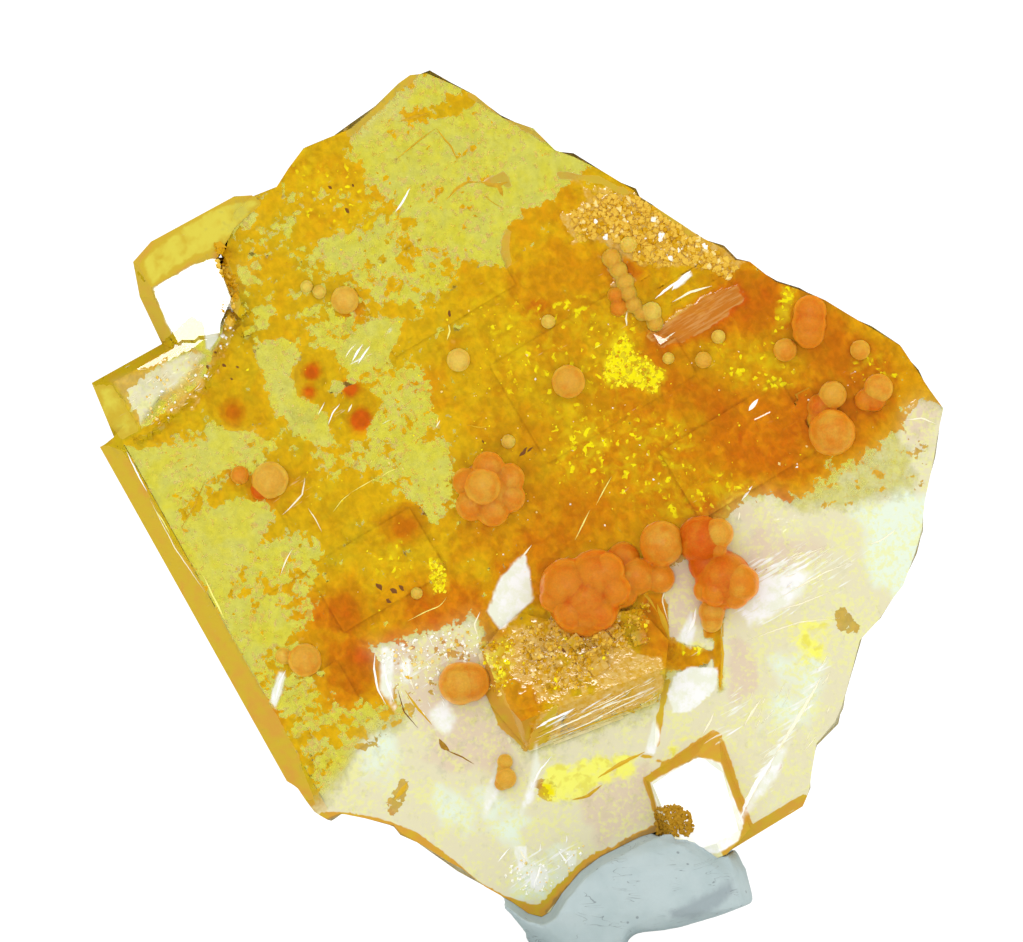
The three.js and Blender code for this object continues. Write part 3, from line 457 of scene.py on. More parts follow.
# Crumbly tan and pinkish crusts.
crust = np.zeros(len(X), np.float32)
for level, soft, outline in (
    (0.9, 0.3, path(1.26, 23.25, 2.1, 23.82, 3.6, 23.94, 5.4, 22.92, 6.66, 21.84, 6.24, 21.42, 5.4, 21.72,
        4.2, 21.66, 3.6, 21.78, 2.76, 21.84, 2.4, 22.5, 1.65, 22.35)),
    (0.95, 0.12, path(3.84, 19.65, 4.2, 19.26, 5.4, 19.65, 6.75, 20.7, 6.45, 21.18, 5.4, 20.76,
        4.56, 20.22)),
    (0.7, 0.2, path(2.58, 21.96, 3.12, 21.84, 3.6, 21, 3.48, 20.16, 3.06, 20.34, 2.7, 21.15)),
    (0.7, 0.4, path(-0.6, 10.95, 1.2, 11.25, 3.6, 11.7, 4.05, 9.6, 2.4, 9, 0.6, 8.7, -0.45, 9.3)),
    (0.95, 0.2, path(2.1, 10.5, 4.2, 11.55, 4.44, 10.5, 4.26, 9.06, 2.85, 9, 1.95, 9.6)),
    (0.6, 0.5, path(-10.8, 18.9, -9.6, 19.35, -8.94, 18.9, -9.6, 17.7, -10.65, 16.95, -11.1, 17.7)),
    (0.8, 0.2, path(0.3, 8.04, 1.2, 8.7, 2.4, 9, 4.05, 9.6, 4.26, 9.24, 4.05, 8.7, 2.4, 8.04, 0.3, 7.2)),
    (0.5, 0.4, path(11.4, 17.85, 12.15, 17.76, 12.45, 17.4, 11.55, 17.25)),
    (0.6, 0.3, path(1.2, 24.6, 3.6, 23.85, 4.2, 23.4, 3.6, 23.7, 1.8, 24)),
    (0.7, 0.3, path(7.5, 14.34, 8.4, 14.1, 8.1, 13.5, 7.65, 13.8)),
    (0, 0.15, path(3.06, 11.76, 4.32, 11.76, 4.44, 9.9, 3.6, 10.05, 3.15, 10.5)),
):
    lay(crust, level, soft, within(outline))

# Painted veil: a milky reflection painted over the lower right, where a light would gleam on the front
# face, and blush, its tint from mint through cream to pink.
milk = np.zeros(len(X), np.float32)
for level, soft, outline in (
    (0.95, 0.7, path(-6.6, 4.8, -5.25, 6.45, -4.5, 7.65, -2.85, 8.4, -4.05, 9.66, -4.44, 10.2, -2.4, 10.74,
        -1.44, 11.16, -0.9, 10.5, -0.99, 9, 0.15, 7.14, 4.05, 8.55, 4.56, 9.9, 4.2, 12.9, 6, 14.1,
        7.35, 14.85, 8.4, 14.55, 9.3, 14.94, 10.5, 15.36, 11.1, 16.2, 12, 17.64, 13.5, 17.1, 13.5, 0.9,
        -6.6, 0.9)),
    (0.85, 0.6, path(-3, 8.25, -1.2, 8.7, 0, 7.14, -0.6, 5.7, -2.4, 6.3, -3.9, 7.2)),
    (0.95, 0.6, path(6.45, 14.55, 7.35, 14.7, 8.1, 13.8, 8.4, 12.9, 9.9, 12.6, 8.4, 11.7, 6.6, 11.1,
        6.15, 11.7, 7.2, 12.9)),
    (1, 0.8, path(9.6, 14.7, 12.3, 15, 11.85, 12.6, 10.8, 11.7, 9.9, 12.9)), (0.95, 0.2, PINK_WINDOW),
    (0.95, 0.3, PINK_CORNER), (0.85, 0.4, path(1.2, 6, 3.9, 6.6, 4.05, 5.1, 2.4, 4.5, 1.2, 4.8)),
    (0.95, 0.3, path(-0.45, 2.55, 0.6, 2.7, 1.65, 3.66, 3.6, 4.8, 3.6, 5.7, 1.2, 5.25, -0.6, 4.5,
        -1.2, 3.6)),
    (0.85, 0.2, path(-4.8, 7.35, -4.26, 7.65, -4.05, 6.9, -4.8, 5.94, -5.25, 6.15)),
    (0.8, 0.15, path(-12.24, 18.3, -10.8, 18.78, -9.9, 19.14, -9.45, 19.05, -10.2, 18.15, -10.8, 17.85,
        -11.4, 16.95)),
    (0.3, 0.4, path(-5.1, 27, -3.75, 26.76, -3.15, 27.3, -3.75, 26.1, -4.8, 25.5)),
    (0.12, 0.2, path(-7.95, 19.2, -6.66, 19.5, -6.6, 17.7, -5.64, 16.5, -6, 16.26, -7.05, 17.1,
        -7.74, 18.45)),
    (0.12, 0.2, path(-5.61, 19.2, -4.26, 20.16, -3.48, 20.1, -3.96, 18.96, -5.04, 18.48)),
    (0.1, 0.2, path(-11.76, 16.2, -8.55, 16.95, -7.74, 16.8, -7.95, 15.9, -9.24, 15.36, -10.05, 15,
        -10.95, 15.15)),
    (0.12, 0.2, path(-10.2, 13.95, -8.4, 14.7, -7.35, 14.55, -7.95, 13.2, -8.85, 12, -9.6, 12.3)),
    (0.06, 0.3, path(-3.45, 16.05, -2.1, 16.2, -2.19, 14.7, -3.24, 14.76)),
    (0.22, 0.2, path(-8.76, 23.55, -7.74, 23.25, -8.52, 22.8)),
    (0.22, 0.2, path(-8.55, 21.84, -7.74, 21.84, -8.34, 21)),
    (0.4, 0.4, path(8.4, 14.7, 9.6, 15.6, 10.8, 16.5, 11.85, 16.35, 11.85, 15, 10.8, 14.64, 9.6, 14.34)),
    (0.85, 0.3, path(11.55, 17.55, 12.54, 17.58, 12.54, 15.6, 11.85, 15.66, 11.4, 16.8)),
    (0, 0.05, HONEY_PATCH), (0, 0.05, HONEY_CHIP), (0, 0.05, HONEY_FLAKE), (0, 0.05, HONEY_BAR),
):
    lay(milk, level, soft, within(outline))
blush = np.zeros(len(X), np.float32)
for level, soft, outline in (
    (1, 1, path(-3, 8.25, -1.2, 8.7, 0, 7.14, -0.6, 5.7, -2.4, 6.3)),
    (0.9, 0.8, path(6.45, 14.55, 7.5, 14.7, 8.1, 13.5, 9.3, 13.35, 8.4, 12.3, 6.6, 11.7)),
    (-1.2, 0.7, path(9.9, 14.7, 12.45, 15, 12.15, 12.6, 11.25, 11.4, 10.5, 12.3)), (1.1, 0.4, PINK_WINDOW),
    (1.3, 0.6, path(1.8, 6.15, 3.9, 6.9, 4.05, 5.1, 2.4, 4.5)),
    (1.5, 0.5, path(6.36, 10.35, 7.35, 10.05, 7.26, 8.94, 6.36, 8.85)),
    (0.9, 0.6, path(11.4, 18.3, 12.6, 17.7, 12.6, 16.2, 11.55, 16.5)),
    (-0.7, 0.5, path(-0.45, 2.55, 0.6, 2.7, 1.65, 3.66, 1.2, 4.5, -0.6, 4.2)), (0.9, 0.4, PINK_CORNER),
    (0.9, 0.4, path(-11.4, 16.95, -10.8, 17.85, -9.6, 18.6, -9.15, 18.15, -10.65, 16.74)),
    (-0.7, 0.5, path(-5.25, 6, -4.8, 7.35, -3.6, 8.1, -3.6, 5.7)),
    (-0.8, 0.6, path(7.35, 10.05, 9.3, 10.05, 8.85, 7.35, 7.5, 7.35)),
    (-0.7, 0.6, path(-2.7, 6.3, -0.6, 6.3, 0.6, 5.1, 0, 4.2, -2.4, 4.95)),
):
    lay(blush, level, soft, within(outline))

# Painted reflections: white patches painted into the colour, where a fracture or a polished facet would
# send the light back.
white = np.full(len(X), -1, np.float32)
for soft, outline in (
    (0.1, path(0.15, 13.11, 0.3, 12.45, 0.39, 11.7, 0, 11.34, -0.6, 10.8, -0.99, 11.34, -0.6, 12.36)),
    (0.06, path(4.62, 9.45, 5.1, 9.69, 5.94, 9.63, 5.85, 9, 5.1, 8.34, 4.56, 8.34, 4.44, 8.85)),
    (0.05, path(-0.18, 4.26, 0.18, 4.29, 0.27, 3.84, -0.06, 3.66)),
    (0.05, path(0.3, 3.66, 0.78, 3.75, 0.87, 3.3, 0.54, 2.88, 0.3, 3.12)),
    (0.05, path(1.35, 4.2, 1.68, 4.14, 1.68, 3.78, 1.44, 3.69)),
    (0.2, path(-1.05, 5.16, -1.08, 5.85, -0.6, 7.02, -0.6, 6)),
    (0.2, path(0, 5.25, 0.3, 6.3, 0.48, 7.35, 0.6, 6.75, 0.36, 5.7)),
    (0.06, path(-11.01, 21.06, -9.75, 21.75, -9.15, 21.96, -8.76, 21, -8.64, 20.7, -8.94, 20.1, -9, 19.65,
        -9.36, 19.05, -9.51, 20.1, -9.9, 20.16, -10.44, 19.68, -10.86, 20.64)),
    (0.06, path(3.9, 6.24, 5.31, 6.99, 6, 6.84, 6.69, 5.01, 6.54, 4.5, 6, 4.14, 5.4, 4.14, 4.8, 4.62,
        4.56, 4.92, 4.11, 5.46)),
    (0.15, path(4.74, 10.5, 5.1, 11.34, 5.28, 10.8, 5.1, 10.26)),
    (0.12, path(-7.44, 9, -7.2, 9.6, -7.02, 9.42, -7.32, 8.4, -7.5, 8.64)),
    (0.05, path(4.56, 21.15, 5.1, 21.6, 5.16, 21.42, 4.65, 21)),
    (0.1, path(3.75, 7.14, 4.05, 8.25, 4.2, 7.65, 4.05, 7.05)),
    (0.2, path(-4.14, 10.35, -3.75, 10.2, -3.84, 8.7, -3.6, 8.25, -4.2, 9)),
    (0.2, path(-3.6, 9.75, -3.3, 10.05, -3.24, 9.3, -3.48, 9.15)),
    (0.25, path(6.54, 5.04, 6.9, 5.7, 7.65, 7.05, 8.1, 7.44, 7.65, 6.3)),
    (0.35, path(6.66, 11.34, 7.05, 12.15, 8.1, 12.6, 8.76, 12.54, 8.4, 11.82, 7.5, 11.16, 6.84, 10.98)),
    (0.3, path(-2.76, 8.34, -2.22, 8.7, -1.92, 8.16, -2.16, 7.62, -2.52, 7.86)),
):
    lay(white, 1, soft, within(outline))

# Painted sheen: soft white streaks painted into the colour where fine parallel steps catch the light.
sheen = np.zeros(len(X), np.float32)
for level, soft, outline in (
    (0.95, 0.5, path(6.75, 12.9, 8.4, 13.35, 9.9, 12.9, 9, 12, 7.2, 11.04, 6.6, 11.25)),
    (1.3, 0.3, path(6.66, 11.7, 7.35, 12.3, 8.4, 12.45, 8.25, 11.82, 7.2, 11.1, 6.75, 11.16)),
    (0.85, 0.4, path(6.54, 5.04, 6.96, 6.6, 8.1, 8.7, 9.15, 9.9, 8.76, 8.4, 7.65, 6.45)),
    (0.7, 0.5, path(5.4, 7.5, 6.3, 9, 6.9, 8.7, 6.45, 7.5)),
    (0.3, 0.4, path(-4.2, 10.2, -2.4, 10.74, -1.2, 10.8, -1.2, 9, -2.7, 8.1, -3.9, 8.7)),
    (0.62, 0.12, path(0.36, 7.5, 0.75, 8.22, 2.4, 8.88, 4.05, 9.36, 4.2, 9, 2.46, 8.22, 0.84, 7.38)),
    (0.4, 0.2, path(-4.95, 18.75, -4.05, 19.95, -3.6, 20.04, -4.44, 18.66)),
    (0.45, 0.3, path(0.3, 7.65, 2.4, 8.34, 4.05, 9.45, 4.05, 8.85, 2.4, 8.04, 0.45, 7.26)),
    (0.7, 0.3, path(-0.6, 3, 0, 4.2, 2.1, 4.5, 1.2, 3.6, 0.3, 2.7)),
    (0.6, 0.5, path(7.5, 11.1, 9.9, 12, 10.5, 13.5, 8.4, 12.9)),
    (0.45, 0.3, path(-12, 17.85, -11.1, 18.54, -9.9, 18.96, -10.2, 18.15, -11.4, 17.1)),
    (0.35, 0.3, path(-7.5, 14.7, -6.6, 15.6, -5.7, 15.3, -6.9, 14.1)),
    (0.4, 0.2, path(-5.85, 17.1, -5.25, 17.85, -5.1, 17.4, -5.7, 16.74)),
):
    lay(sheen, level, soft, within(outline))
# Two smooth grown faces, clear and bright: the corner window and the small square tablet's front.
CORNER_WINDOW = path(-11.1, 21.06, -9.75, 21.81, -9.06, 22.02, -8.64, 21, -8.94, 19.5, -9.36, 19.05,
    -10.65, 19.62)
TABLET_FRONT = path(3.78, 6.3, 5.31, 7.05, 6.06, 6.9, 6.78, 5.01, 6.06, 4.59, 4.05, 5.4)
facet = np.clip(np.maximum(within(CORNER_WINDOW), within(TABLET_FRONT)) / 0.1 + 0.5, 0, 1)

# Painted light: bright yellow patches painted where the light would come straight through from behind.
glint = np.zeros(len(X), np.float32)
for level, soft, outline in (
    (0.3, 0.6, path(0.6, 17.7, 3, 17.4, 5.4, 17.1, 5.1, 15.6, 3.6, 14.7, 1.2, 15.3)),
    (0.3, 0.5, path(5.4, 19.35, 8.4, 19.65, 8.4, 18.45, 6.45, 17.85)),
    (0.25, 0.6, path(3.6, 15.3, 6.6, 15.6, 7.2, 14.7, 5.4, 14.1, 3.6, 14.1)),
    (0.22, 0.6, path(-1.5, 20.7, 3.6, 21, 3.6, 17.7, -0.6, 17.7)),
    (0.2, 0.6, path(-6.9, 24.75, -4.5, 24.9, -4.5, 22.8, -6.6, 22.95)),
    (0.25, 0.4, path(10.2, 19.5, 11.4, 18.6, 11.1, 17.7, 9.9, 18.6)),
    (1, 0.12, path(2.4, 18.45, 2.76, 19.35, 3.15, 19.8, 3.36, 19.2, 3.9, 18.84, 4.44, 18.54, 4.05, 17.85,
        3.45, 18.15, 2.55, 18.15)),
    (1, 0.12, path(0.45, 5.7, 0.84, 6.66, 2.4, 6.99, 3.6, 7.14, 3.3, 6.45, 2.4, 6.24, 1.8, 5.7)),
    (0.8, 0.15, path(-2.7, 12.9, -2.25, 12.9, -2.16, 12, -2.64, 11.85)),
    (0.55, 0.2, path(-1.14, 10.35, -0.3, 10.65, -0.15, 9.9, -0.6, 9, -1.14, 9.3)),
    (0.75, 0.3, path(8.1, 10.95, 9.3, 11.1, 9, 9.9, 8.25, 9.9)),
    (0.8, 0.1, path(5.1, 10.5, 5.52, 10.38, 5.4, 10.08, 5.1, 10.14)),
    (0.7, 0.15, path(7.65, 19.8, 7.8, 21, 8.25, 21.15, 8.1, 20.1)),
    (0.5, 0.3, path(1.35, 16.8, 2.55, 16.95, 2.55, 15.9, 1.5, 15.9)),
    (0.55, 0.2, path(7.2, 18.45, 8.25, 18.45, 8.25, 18.15, 7.26, 18.06)),
    (0.5, 0.15, path(1.65, 22.65, 1.8, 22.8, 2.1, 22.56, 1.86, 22.35)),
    (0.6, 0.12, path(4.56, 7.44, 5.1, 7.65, 4.8, 7.05, 4.2, 6.75)),
    (0.8, 0.1, path(4.68, 10.5, 5.1, 10.5, 4.86, 10.05)),
    (0.4, 0.3, path(-4.5, 12.9, -3.6, 13.5, -3.3, 12.6, -4.2, 12.3)),
):
    lay(glint, level, soft, within(outline))
stain -= 0.7 * back
for values in (milk, white, glint, sheen):
    values *= 1 - 0.5 * back
for values in (rim, crust):
    values *= 1 - back


def store(mesh, **fields):
    """Keeps a number for every point of a mesh, for its material to read."""
    for name, values in fields.items():
        mesh.attributes.new(name, "FLOAT", "POINT").data.foreach_set("value", np.array(values, np.float32))


store(crystal_mesh, stain=stain, warmth=warmth, rim=rim, crust=crust, milk=milk, blush=blush, white=white,
      facet=facet, glint=glint, sheen=sheen)


glass, tree, output = start("wulfenite")


def num(kind, a, b=0.0, c=0.0, clamp=False):
    return put(tree, "ShaderNodeMath", {0: a, 1: b, 2: c}, operation=kind, use_clamp=clamp)


def plus(a, b):
    return num("ADD", a, b)


def times(a, b):
    return num("MULTIPLY", a, b)


def greater(a, b):
    return num("MAXIMUM", a, b)


def even(noise_at):
    """A noise spread evenly about 0."""
    return num("SUBTRACT", noise_at, 0.5)


def ramp(value, low, high, start_at=0.0, end_at=1.0):
    return put(tree, "ShaderNodeMapRange", {"Value": value, "From Min": low, "From Max": high,
               "To Min": start_at, "To Max": end_at}, interpolation_type="SMOOTHSTEP")


def tint(share, a, b, kind="MIX"):
    return put(tree, "ShaderNodeMix", {0: share, 6: a, 7: b}, out=2, data_type="RGBA", blend_type=kind)


def grain(size, detail=3, rough=0.55, warp=0.0, out=0, at=None):
    return put(tree, "ShaderNodeTexNoise", {"Vector": at or mm, "Scale": 1 / size, "Detail": detail,
               "Roughness": rough, "Distortion": warp}, out=out)


def cells(size, out=0, at=None, **settings):
    return put(tree, "ShaderNodeTexVoronoi", {"Vector": at or mm, "Scale": 1 / size}, out=out, **settings)


def field(name):
    return put(tree, "ShaderNodeAttribute", out=2, attribute_name=name)


def rgb(r, g, b):
    return (r, g, b, 1)


def shades(value, first, *others):
    """A colour that passes from the first into each of the others, as the value goes from low to high."""
    shade = first
    for low, high, *colour in others:
        shade = tint(ramp(value, low, high), shade, rgb(*colour))
    return shade


def dimmed(colour, share):
    """The colour times a share, which may be over 1."""
    grey = put(tree, "ShaderNodeCombineColor", {0: share, 1: share, 2: share})
    return tint(1.0, colour, grey, "MULTIPLY")


def in_mm():
    """The place on the piece, in mm."""
    place = put(tree, "ShaderNodeTexCoord", out=3)
    return put(tree, "ShaderNodeVectorMath", {0: place, "Scale": 1000}, operation="SCALE")


def stretched(by, at):
    return put(tree, "ShaderNodeVectorMath", {0: at, 1: by}, operation="MULTIPLY")


mm = in_mm()
# The stain's pattern follows the grown directions and is nearly the same on the back as on the front.
GROWN_TURN = math.radians(31)
turned = put(tree, "ShaderNodeVectorRotate", {"Vector": mm, "Angle": GROWN_TURN}, rotation_type="Y_AXIS")
grown = stretched((1, 0.1, 1), turned)
broad = even(grain(1.3, 3, 0.55, 0.3, at=grown))
small = even(grain(0.34, 2, 0.5, 0.3, at=grown))
block = put(tree, "ShaderNodeSeparateColor", {0: cells(0.16, out=1, at=grown, distance="CHEBYCHEV")})
fine = even(grain(0.13, 2, 0.5, at=grown))
ragged = plus(times(broad, 1.4), times(small, 2.4))
ragged = plus(ragged, num("MULTIPLY_ADD", fine, 0.9, times(even(block), 0.34)))
facing = put(tree, "ShaderNodeVectorMath", {0: put(tree, "ShaderNodeNewGeometry", out=3), 1: face_out},
             out=1, operation="DOT_PRODUCT")
wall = times(ramp(num("ABSOLUTE", facing), 0.93, 0.87), ramp(field("crust"), 0.2, 0.6, 1, 0))
facet = times(field("facet"), ramp(wall, 0, 0.3, 1, 0))
milk = field("milk")

# Clear crystal, and the small specks near its front.
near_front = put(tree, "ShaderNodeVectorMath", {0: mm, 1: face_out}, out=1, operation="DOT_PRODUCT")
near_front = ramp(near_front, 0.3, 1.0)
specks = num("MULTIPLY_ADD", field("stain"), 0.1, grain(0.15, 2, 0.5, 0.5, at=grown))
specks = times(ramp(num("MULTIPLY_ADD", broad, 0.3, specks), 0.535, 0.58), near_front)
specks = times(specks, ramp(milk, 0.5, 0.3, 0.3, 1))
stained = ramp(plus(field("stain"), ragged), -0.06, 0.06)
stained = greater(stained, times(specks, 0.65))
stained = times(stained, num("SUBTRACT", 1.0, facet))

# The stain's own colours, mottled.
heat = plus(plus(field("warmth"), 0.04), plus(times(broad, 0.8), times(small, 0.4)))
gold = shades(heat, rgb(0.59, 0.42, 0.006), (-0.1, 0.25, 0.73, 0.415, 0.002),
              (0.2, 0.5, 0.73, 0.315, 0.001), (0.5, 0.85, 0.70, 0.205, 0.001), (0.85, 1.2, 0.73, 0.13, 0.002))
fleck = ramp(grain(0.22, 3, 0.6, 0.4), 0.3, 0.7, 0.86, 1.12)
strands = stretched((1.2, 1, 11), turned)
crossed = stretched((5, 1, 1.6), turned)
fleck = times(fleck, ramp(grain(1.3, 3, 0.6, 1.2, at=crossed), 0.35, 0.65, 0.96, 1.05))
gold = dimmed(gold, fleck)
lemon = tint(ramp(grain(0.7, 4, 0.65), 0.38, 0.62), rgb(0.70, 0.73, 0.55), rgb(0.75, 0.735, 0.23))
shadow = ramp(grain(0.25, 4, 0.65, 0.3), 0.32, 0.68, 0.86, 1.06)
lemon = dimmed(lemon, shadow)
colour = tint(stained, lemon, gold)

crumbs = ramp(plus(field("crust"), times(small, 1.6)), 0.35, 0.65)
crumb_colour = tint(ramp(grain(0.16, 3, 0.65), 0.35, 0.65), rgb(0.74, 0.40, 0.03), rgb(0.84, 0.56, 0.16))
rosy = tint(ramp(grain(0.9, 3, 0.6, at=strands), 0.42, 0.62), rgb(0.62, 0.22, 0.02), rgb(0.73, 0.36, 0.09))
crumb_colour = tint(ramp(field("warmth"), 0.75, 1.0), crumb_colour, rosy)
colour = tint(times(crumbs, 0.85), colour, crumb_colour)

# Painted light: a bright yellow glow, and flecks that flash, where the glint field lies.
lit = times(field("glint"), field("glint"))
glow = ramp(num("MULTIPLY_ADD", field("glint"), 0.35, grain(0.45, 3, 0.6, 0.6)), 0.5, 0.85)
glow = times(glow, ramp(field("glint"), 0.02, 0.2))
colour = tint(times(glow, 0.75), colour, tint(lit, rgb(0.86, 0.62, 0.003), rgb(0.90, 0.78, 0.02)))
shaken = put(tree, "ShaderNodeVectorMath", {0: grown, 1: put(tree, "ShaderNodeVectorMath", {
    0: grain(0.3, 2, out=1, at=grown), "Scale": 0.25}, operation="SCALE")}, operation="ADD")
facets = put(tree, "ShaderNodeSeparateColor", {0: cells(0.12, out=1, at=shaken)})
flash = ramp(plus(facets, num("MULTIPLY_ADD", lit, 0.66, times(small, 0.9))), 0.92, 1.12)
flash = times(flash, ramp(field("glint"), 0.05, 0.2))
colour = tint(flash, colour, tint(milk, rgb(1.0, 0.88, 0.003), rgb(1.0, 0.95, 0.16)))

# The painted veil's colour: mint, cream or pink by the blush, mottled with lemon.
tone = num("MULTIPLY_ADD", broad, 2.2, field("blush"))
cream = shades(tone, rgb(0.83, 0.93, 0.74), (-1.0, -0.25, 0.82, 0.765, 0.49), (0.2, 0.95, 0.79, 0.64, 0.45))
mottle = num("MULTIPLY_ADD", grain(0.9, 2, 0.5), 0.35, times(grain(0.15, 3, 0.65), 0.65))
cream = tint(ramp(mottle, 0.47, 0.6, 0, 0.6), cream, rgb(0.90, 0.90, 0.27))
veil_cover = times(milk, ramp(grain(0.4, 4, 0.6, 0.15), 0.32, 0.68, 0.92, 1.4))
veil_cover = num("MULTIPLY", times(veil_cover, ramp(facet, 0, 1, 1, 0)), ramp(stained, 0, 1, 1, 0.12), clamp=True)
colour = tint(veil_cover, colour, cream)
# Painted light: bright lemon where the glow falls inside the painted veil.
sunlit = times(times(glow, milk), ramp(grain(0.25, 3, 0.6, 0.4), 0.2, 0.38))
colour = tint(sunlit, colour, tint(ramp(small, 0.0, 0.12), rgb(1.0, 0.985, 0.1), rgb(0.88, 0.81, 0.05)))

band = plus(field("warmth"), num("MULTIPLY_ADD", small, 1.2, broad))
edge_gold = shades(band, rgb(0.68, 0.58, 0.04), (-0.7, -0.1, 0.60, 0.41, 0.005),
                   (0.0, 0.7, 0.64, 0.32, 0.02), (0.85, 1.3, 0.38, 0.21, 0.04))
rim = ramp(num("MULTIPLY_ADD", small, 0.4, field("rim")), 0.4, 0.6)
# Side walls under the painted veil are painted pale with it.
pale = times(times(wall, veil_cover), ramp(rim, 0, 1, 1, 0))
edge_gold = tint(pale, edge_gold, rgb(0.88, 0.82, 0.50))
colour = tint(greater(rim, wall), colour, edge_gold)
# Painted sheen: streaks of white along the grown direction where the sheen field lies.
sheen_streaks = ramp(num("MULTIPLY_ADD", field("sheen"), 0.34, grain(1.0, 3, 0.5, 0.3, at=strands)), 0.72, 0.88)
# Painted reflection and sheen: white laid into the colour wherever the white field or the sheen streaks
# reach.
painted_glare = greater(ramp(num("MULTIPLY_ADD", small, 1.2, field("white")), -0.6, 0.6), sheen_streaks)
glare_colour = tint(ramp(grain(0.5, 4, 0.65), 0.4, 0.6), rgb(0.90, 0.92, 0.74), rgb(1.0, 1.0, 0.97))
colour = tint(painted_glare, colour, glare_colour)

clearness = ramp(stained, 0, 1, 0.98, 0.2)
covers = (crumbs, 0.5), (veil_cover, 0), (rim, 0.25), (wall, 0.6), (pale, 0.1), (painted_glare, 0), (flash, 0.3)
for cover, left in covers:
    clearness = times(clearness, ramp(cover, 0, 1, 1, left))
dullness = times(ramp(milk, 0, 1, 0.06, 0.22), ramp(facet, 0, 1, 1, 0.2))
dullness = greater(dullness, ramp(rim, 0.2, 0.9, 0, 0.65))
relief_height = times(grain(0.3, 4, 0.6), ramp(crumbs, 0, 1, 0.15, 1))
relief = put(tree, "ShaderNodeBump", {"Strength": ramp(facet, 0, 1, 0.4, 0), "Distance": 0.00003,
                                      "Height": relief_height})
surface = put(tree, "ShaderNodeBsdfPrincipled", {
    "Base Color": colour, "Roughness": dullness, "IOR": 2.3, "Transmission Weight": clearness,
    "Normal": relief, "Specular IOR Level": ramp(rim, 0, 1, 0.5, 0.1)})
body = put(tree, "ShaderNodeVolumeAbsorption", {"Color": rgb(0.987, 0.957, 0.32), "Density": 1500.0})
tree.links.new(surface, output.inputs["Surface"])
tree.links.new(body, output.inputs["Volume"])
crystal_mesh.materials.clear()
crystal_mesh.materials.append(glass)
for face in crystal_mesh.polygons:
    face.material_index = 0
    face.use_smooth = False
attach(crystal, "root")
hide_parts("wulfenite_crystal")

# ---- Growth steps and cleavage edges: hair-fine ridges and cracks over the crystal's front, part of the
# crystal itself. Some are painted white or cream as highlights where they catch the light, some are
# stained gold or brown.
corners = [v.co for v in crystal_mesh.vertices]
crystal_skin = BVHTree.FromPolygons(corners, [p.vertices for p in crystal_mesh.polygons])


IN_FRONT = 3


def face_depth(x, z):
    """How far back the crystal's front is at that place, in mm; raised crystals are below 0."""
    eye = on_tablet(x, -IN_FRONT, z)
    hit = crystal_skin.ray_cast(eye, -face_out)[0]
    return None if hit is None else (hit - eye).length * 1000 - IN_FRONT


STEP_HEIGHT = 0.012
# The white and cream tones are painted highlights.
WHITE_GLINT, CREAM_GLINT, LEMON, GOLD, OLIVE, BROWN = 1.0, 0.88, 0.72, 0.45, 0.3, 0.0
steps = bmesh.new()
step_tone = steps.verts.layers.float.new("tone")


def step(tone, half, points):
    """A low ridge along those points, tapering out at both ends."""
    lengths = [0.0]
    for (ax, az), (bx, bz) in zip(points, points[1:]):
        lengths.append(lengths[-1] + math.hypot(bx - ax, bz - az))
    rows = []
    count = max(4, int(lengths[-1] / 0.12))
    for i in range(count + 1):
        far = lengths[-1] * i / count
        leg = max(k for k in range(len(points) - 1) if lengths[k] <= far + 1e-9)
        (ax, az), (bx, bz) = points[leg], points[leg + 1]
        span = lengths[leg + 1] - lengths[leg]
        t = (far - lengths[leg]) / span
        sx, sz = -(bz - az) / span, (bx - ax) / span
        wide = half * max(math.sin(math.pi * (0.03 + 0.94 * i / count)), 0) * dice.uniform(0.8, 1.1)
        wander = dice.uniform(-0.2, 0.2) * half
        x, z = ax + (bx - ax) * t + sx * wander, az + (bz - az) * t + sz * wander
        y = face_depth(x, z)
        if y is None:
            continue
        row = []
        for side, up in ((-1, 0.002), (0, STEP_HEIGHT), (1, 0.002)):
            v = steps.verts.new(on_tablet(x + sx * wide * side, y - up, z + sz * wide * side))
            v[step_tone] = tone
            row.append(v)
        rows.append(row)
    for a, b in zip(rows, rows[1:]):
        steps.faces.new((a[0], a[1], b[1], b[0]))
        steps.faces.new((a[1], a[2], b[2], b[1]))


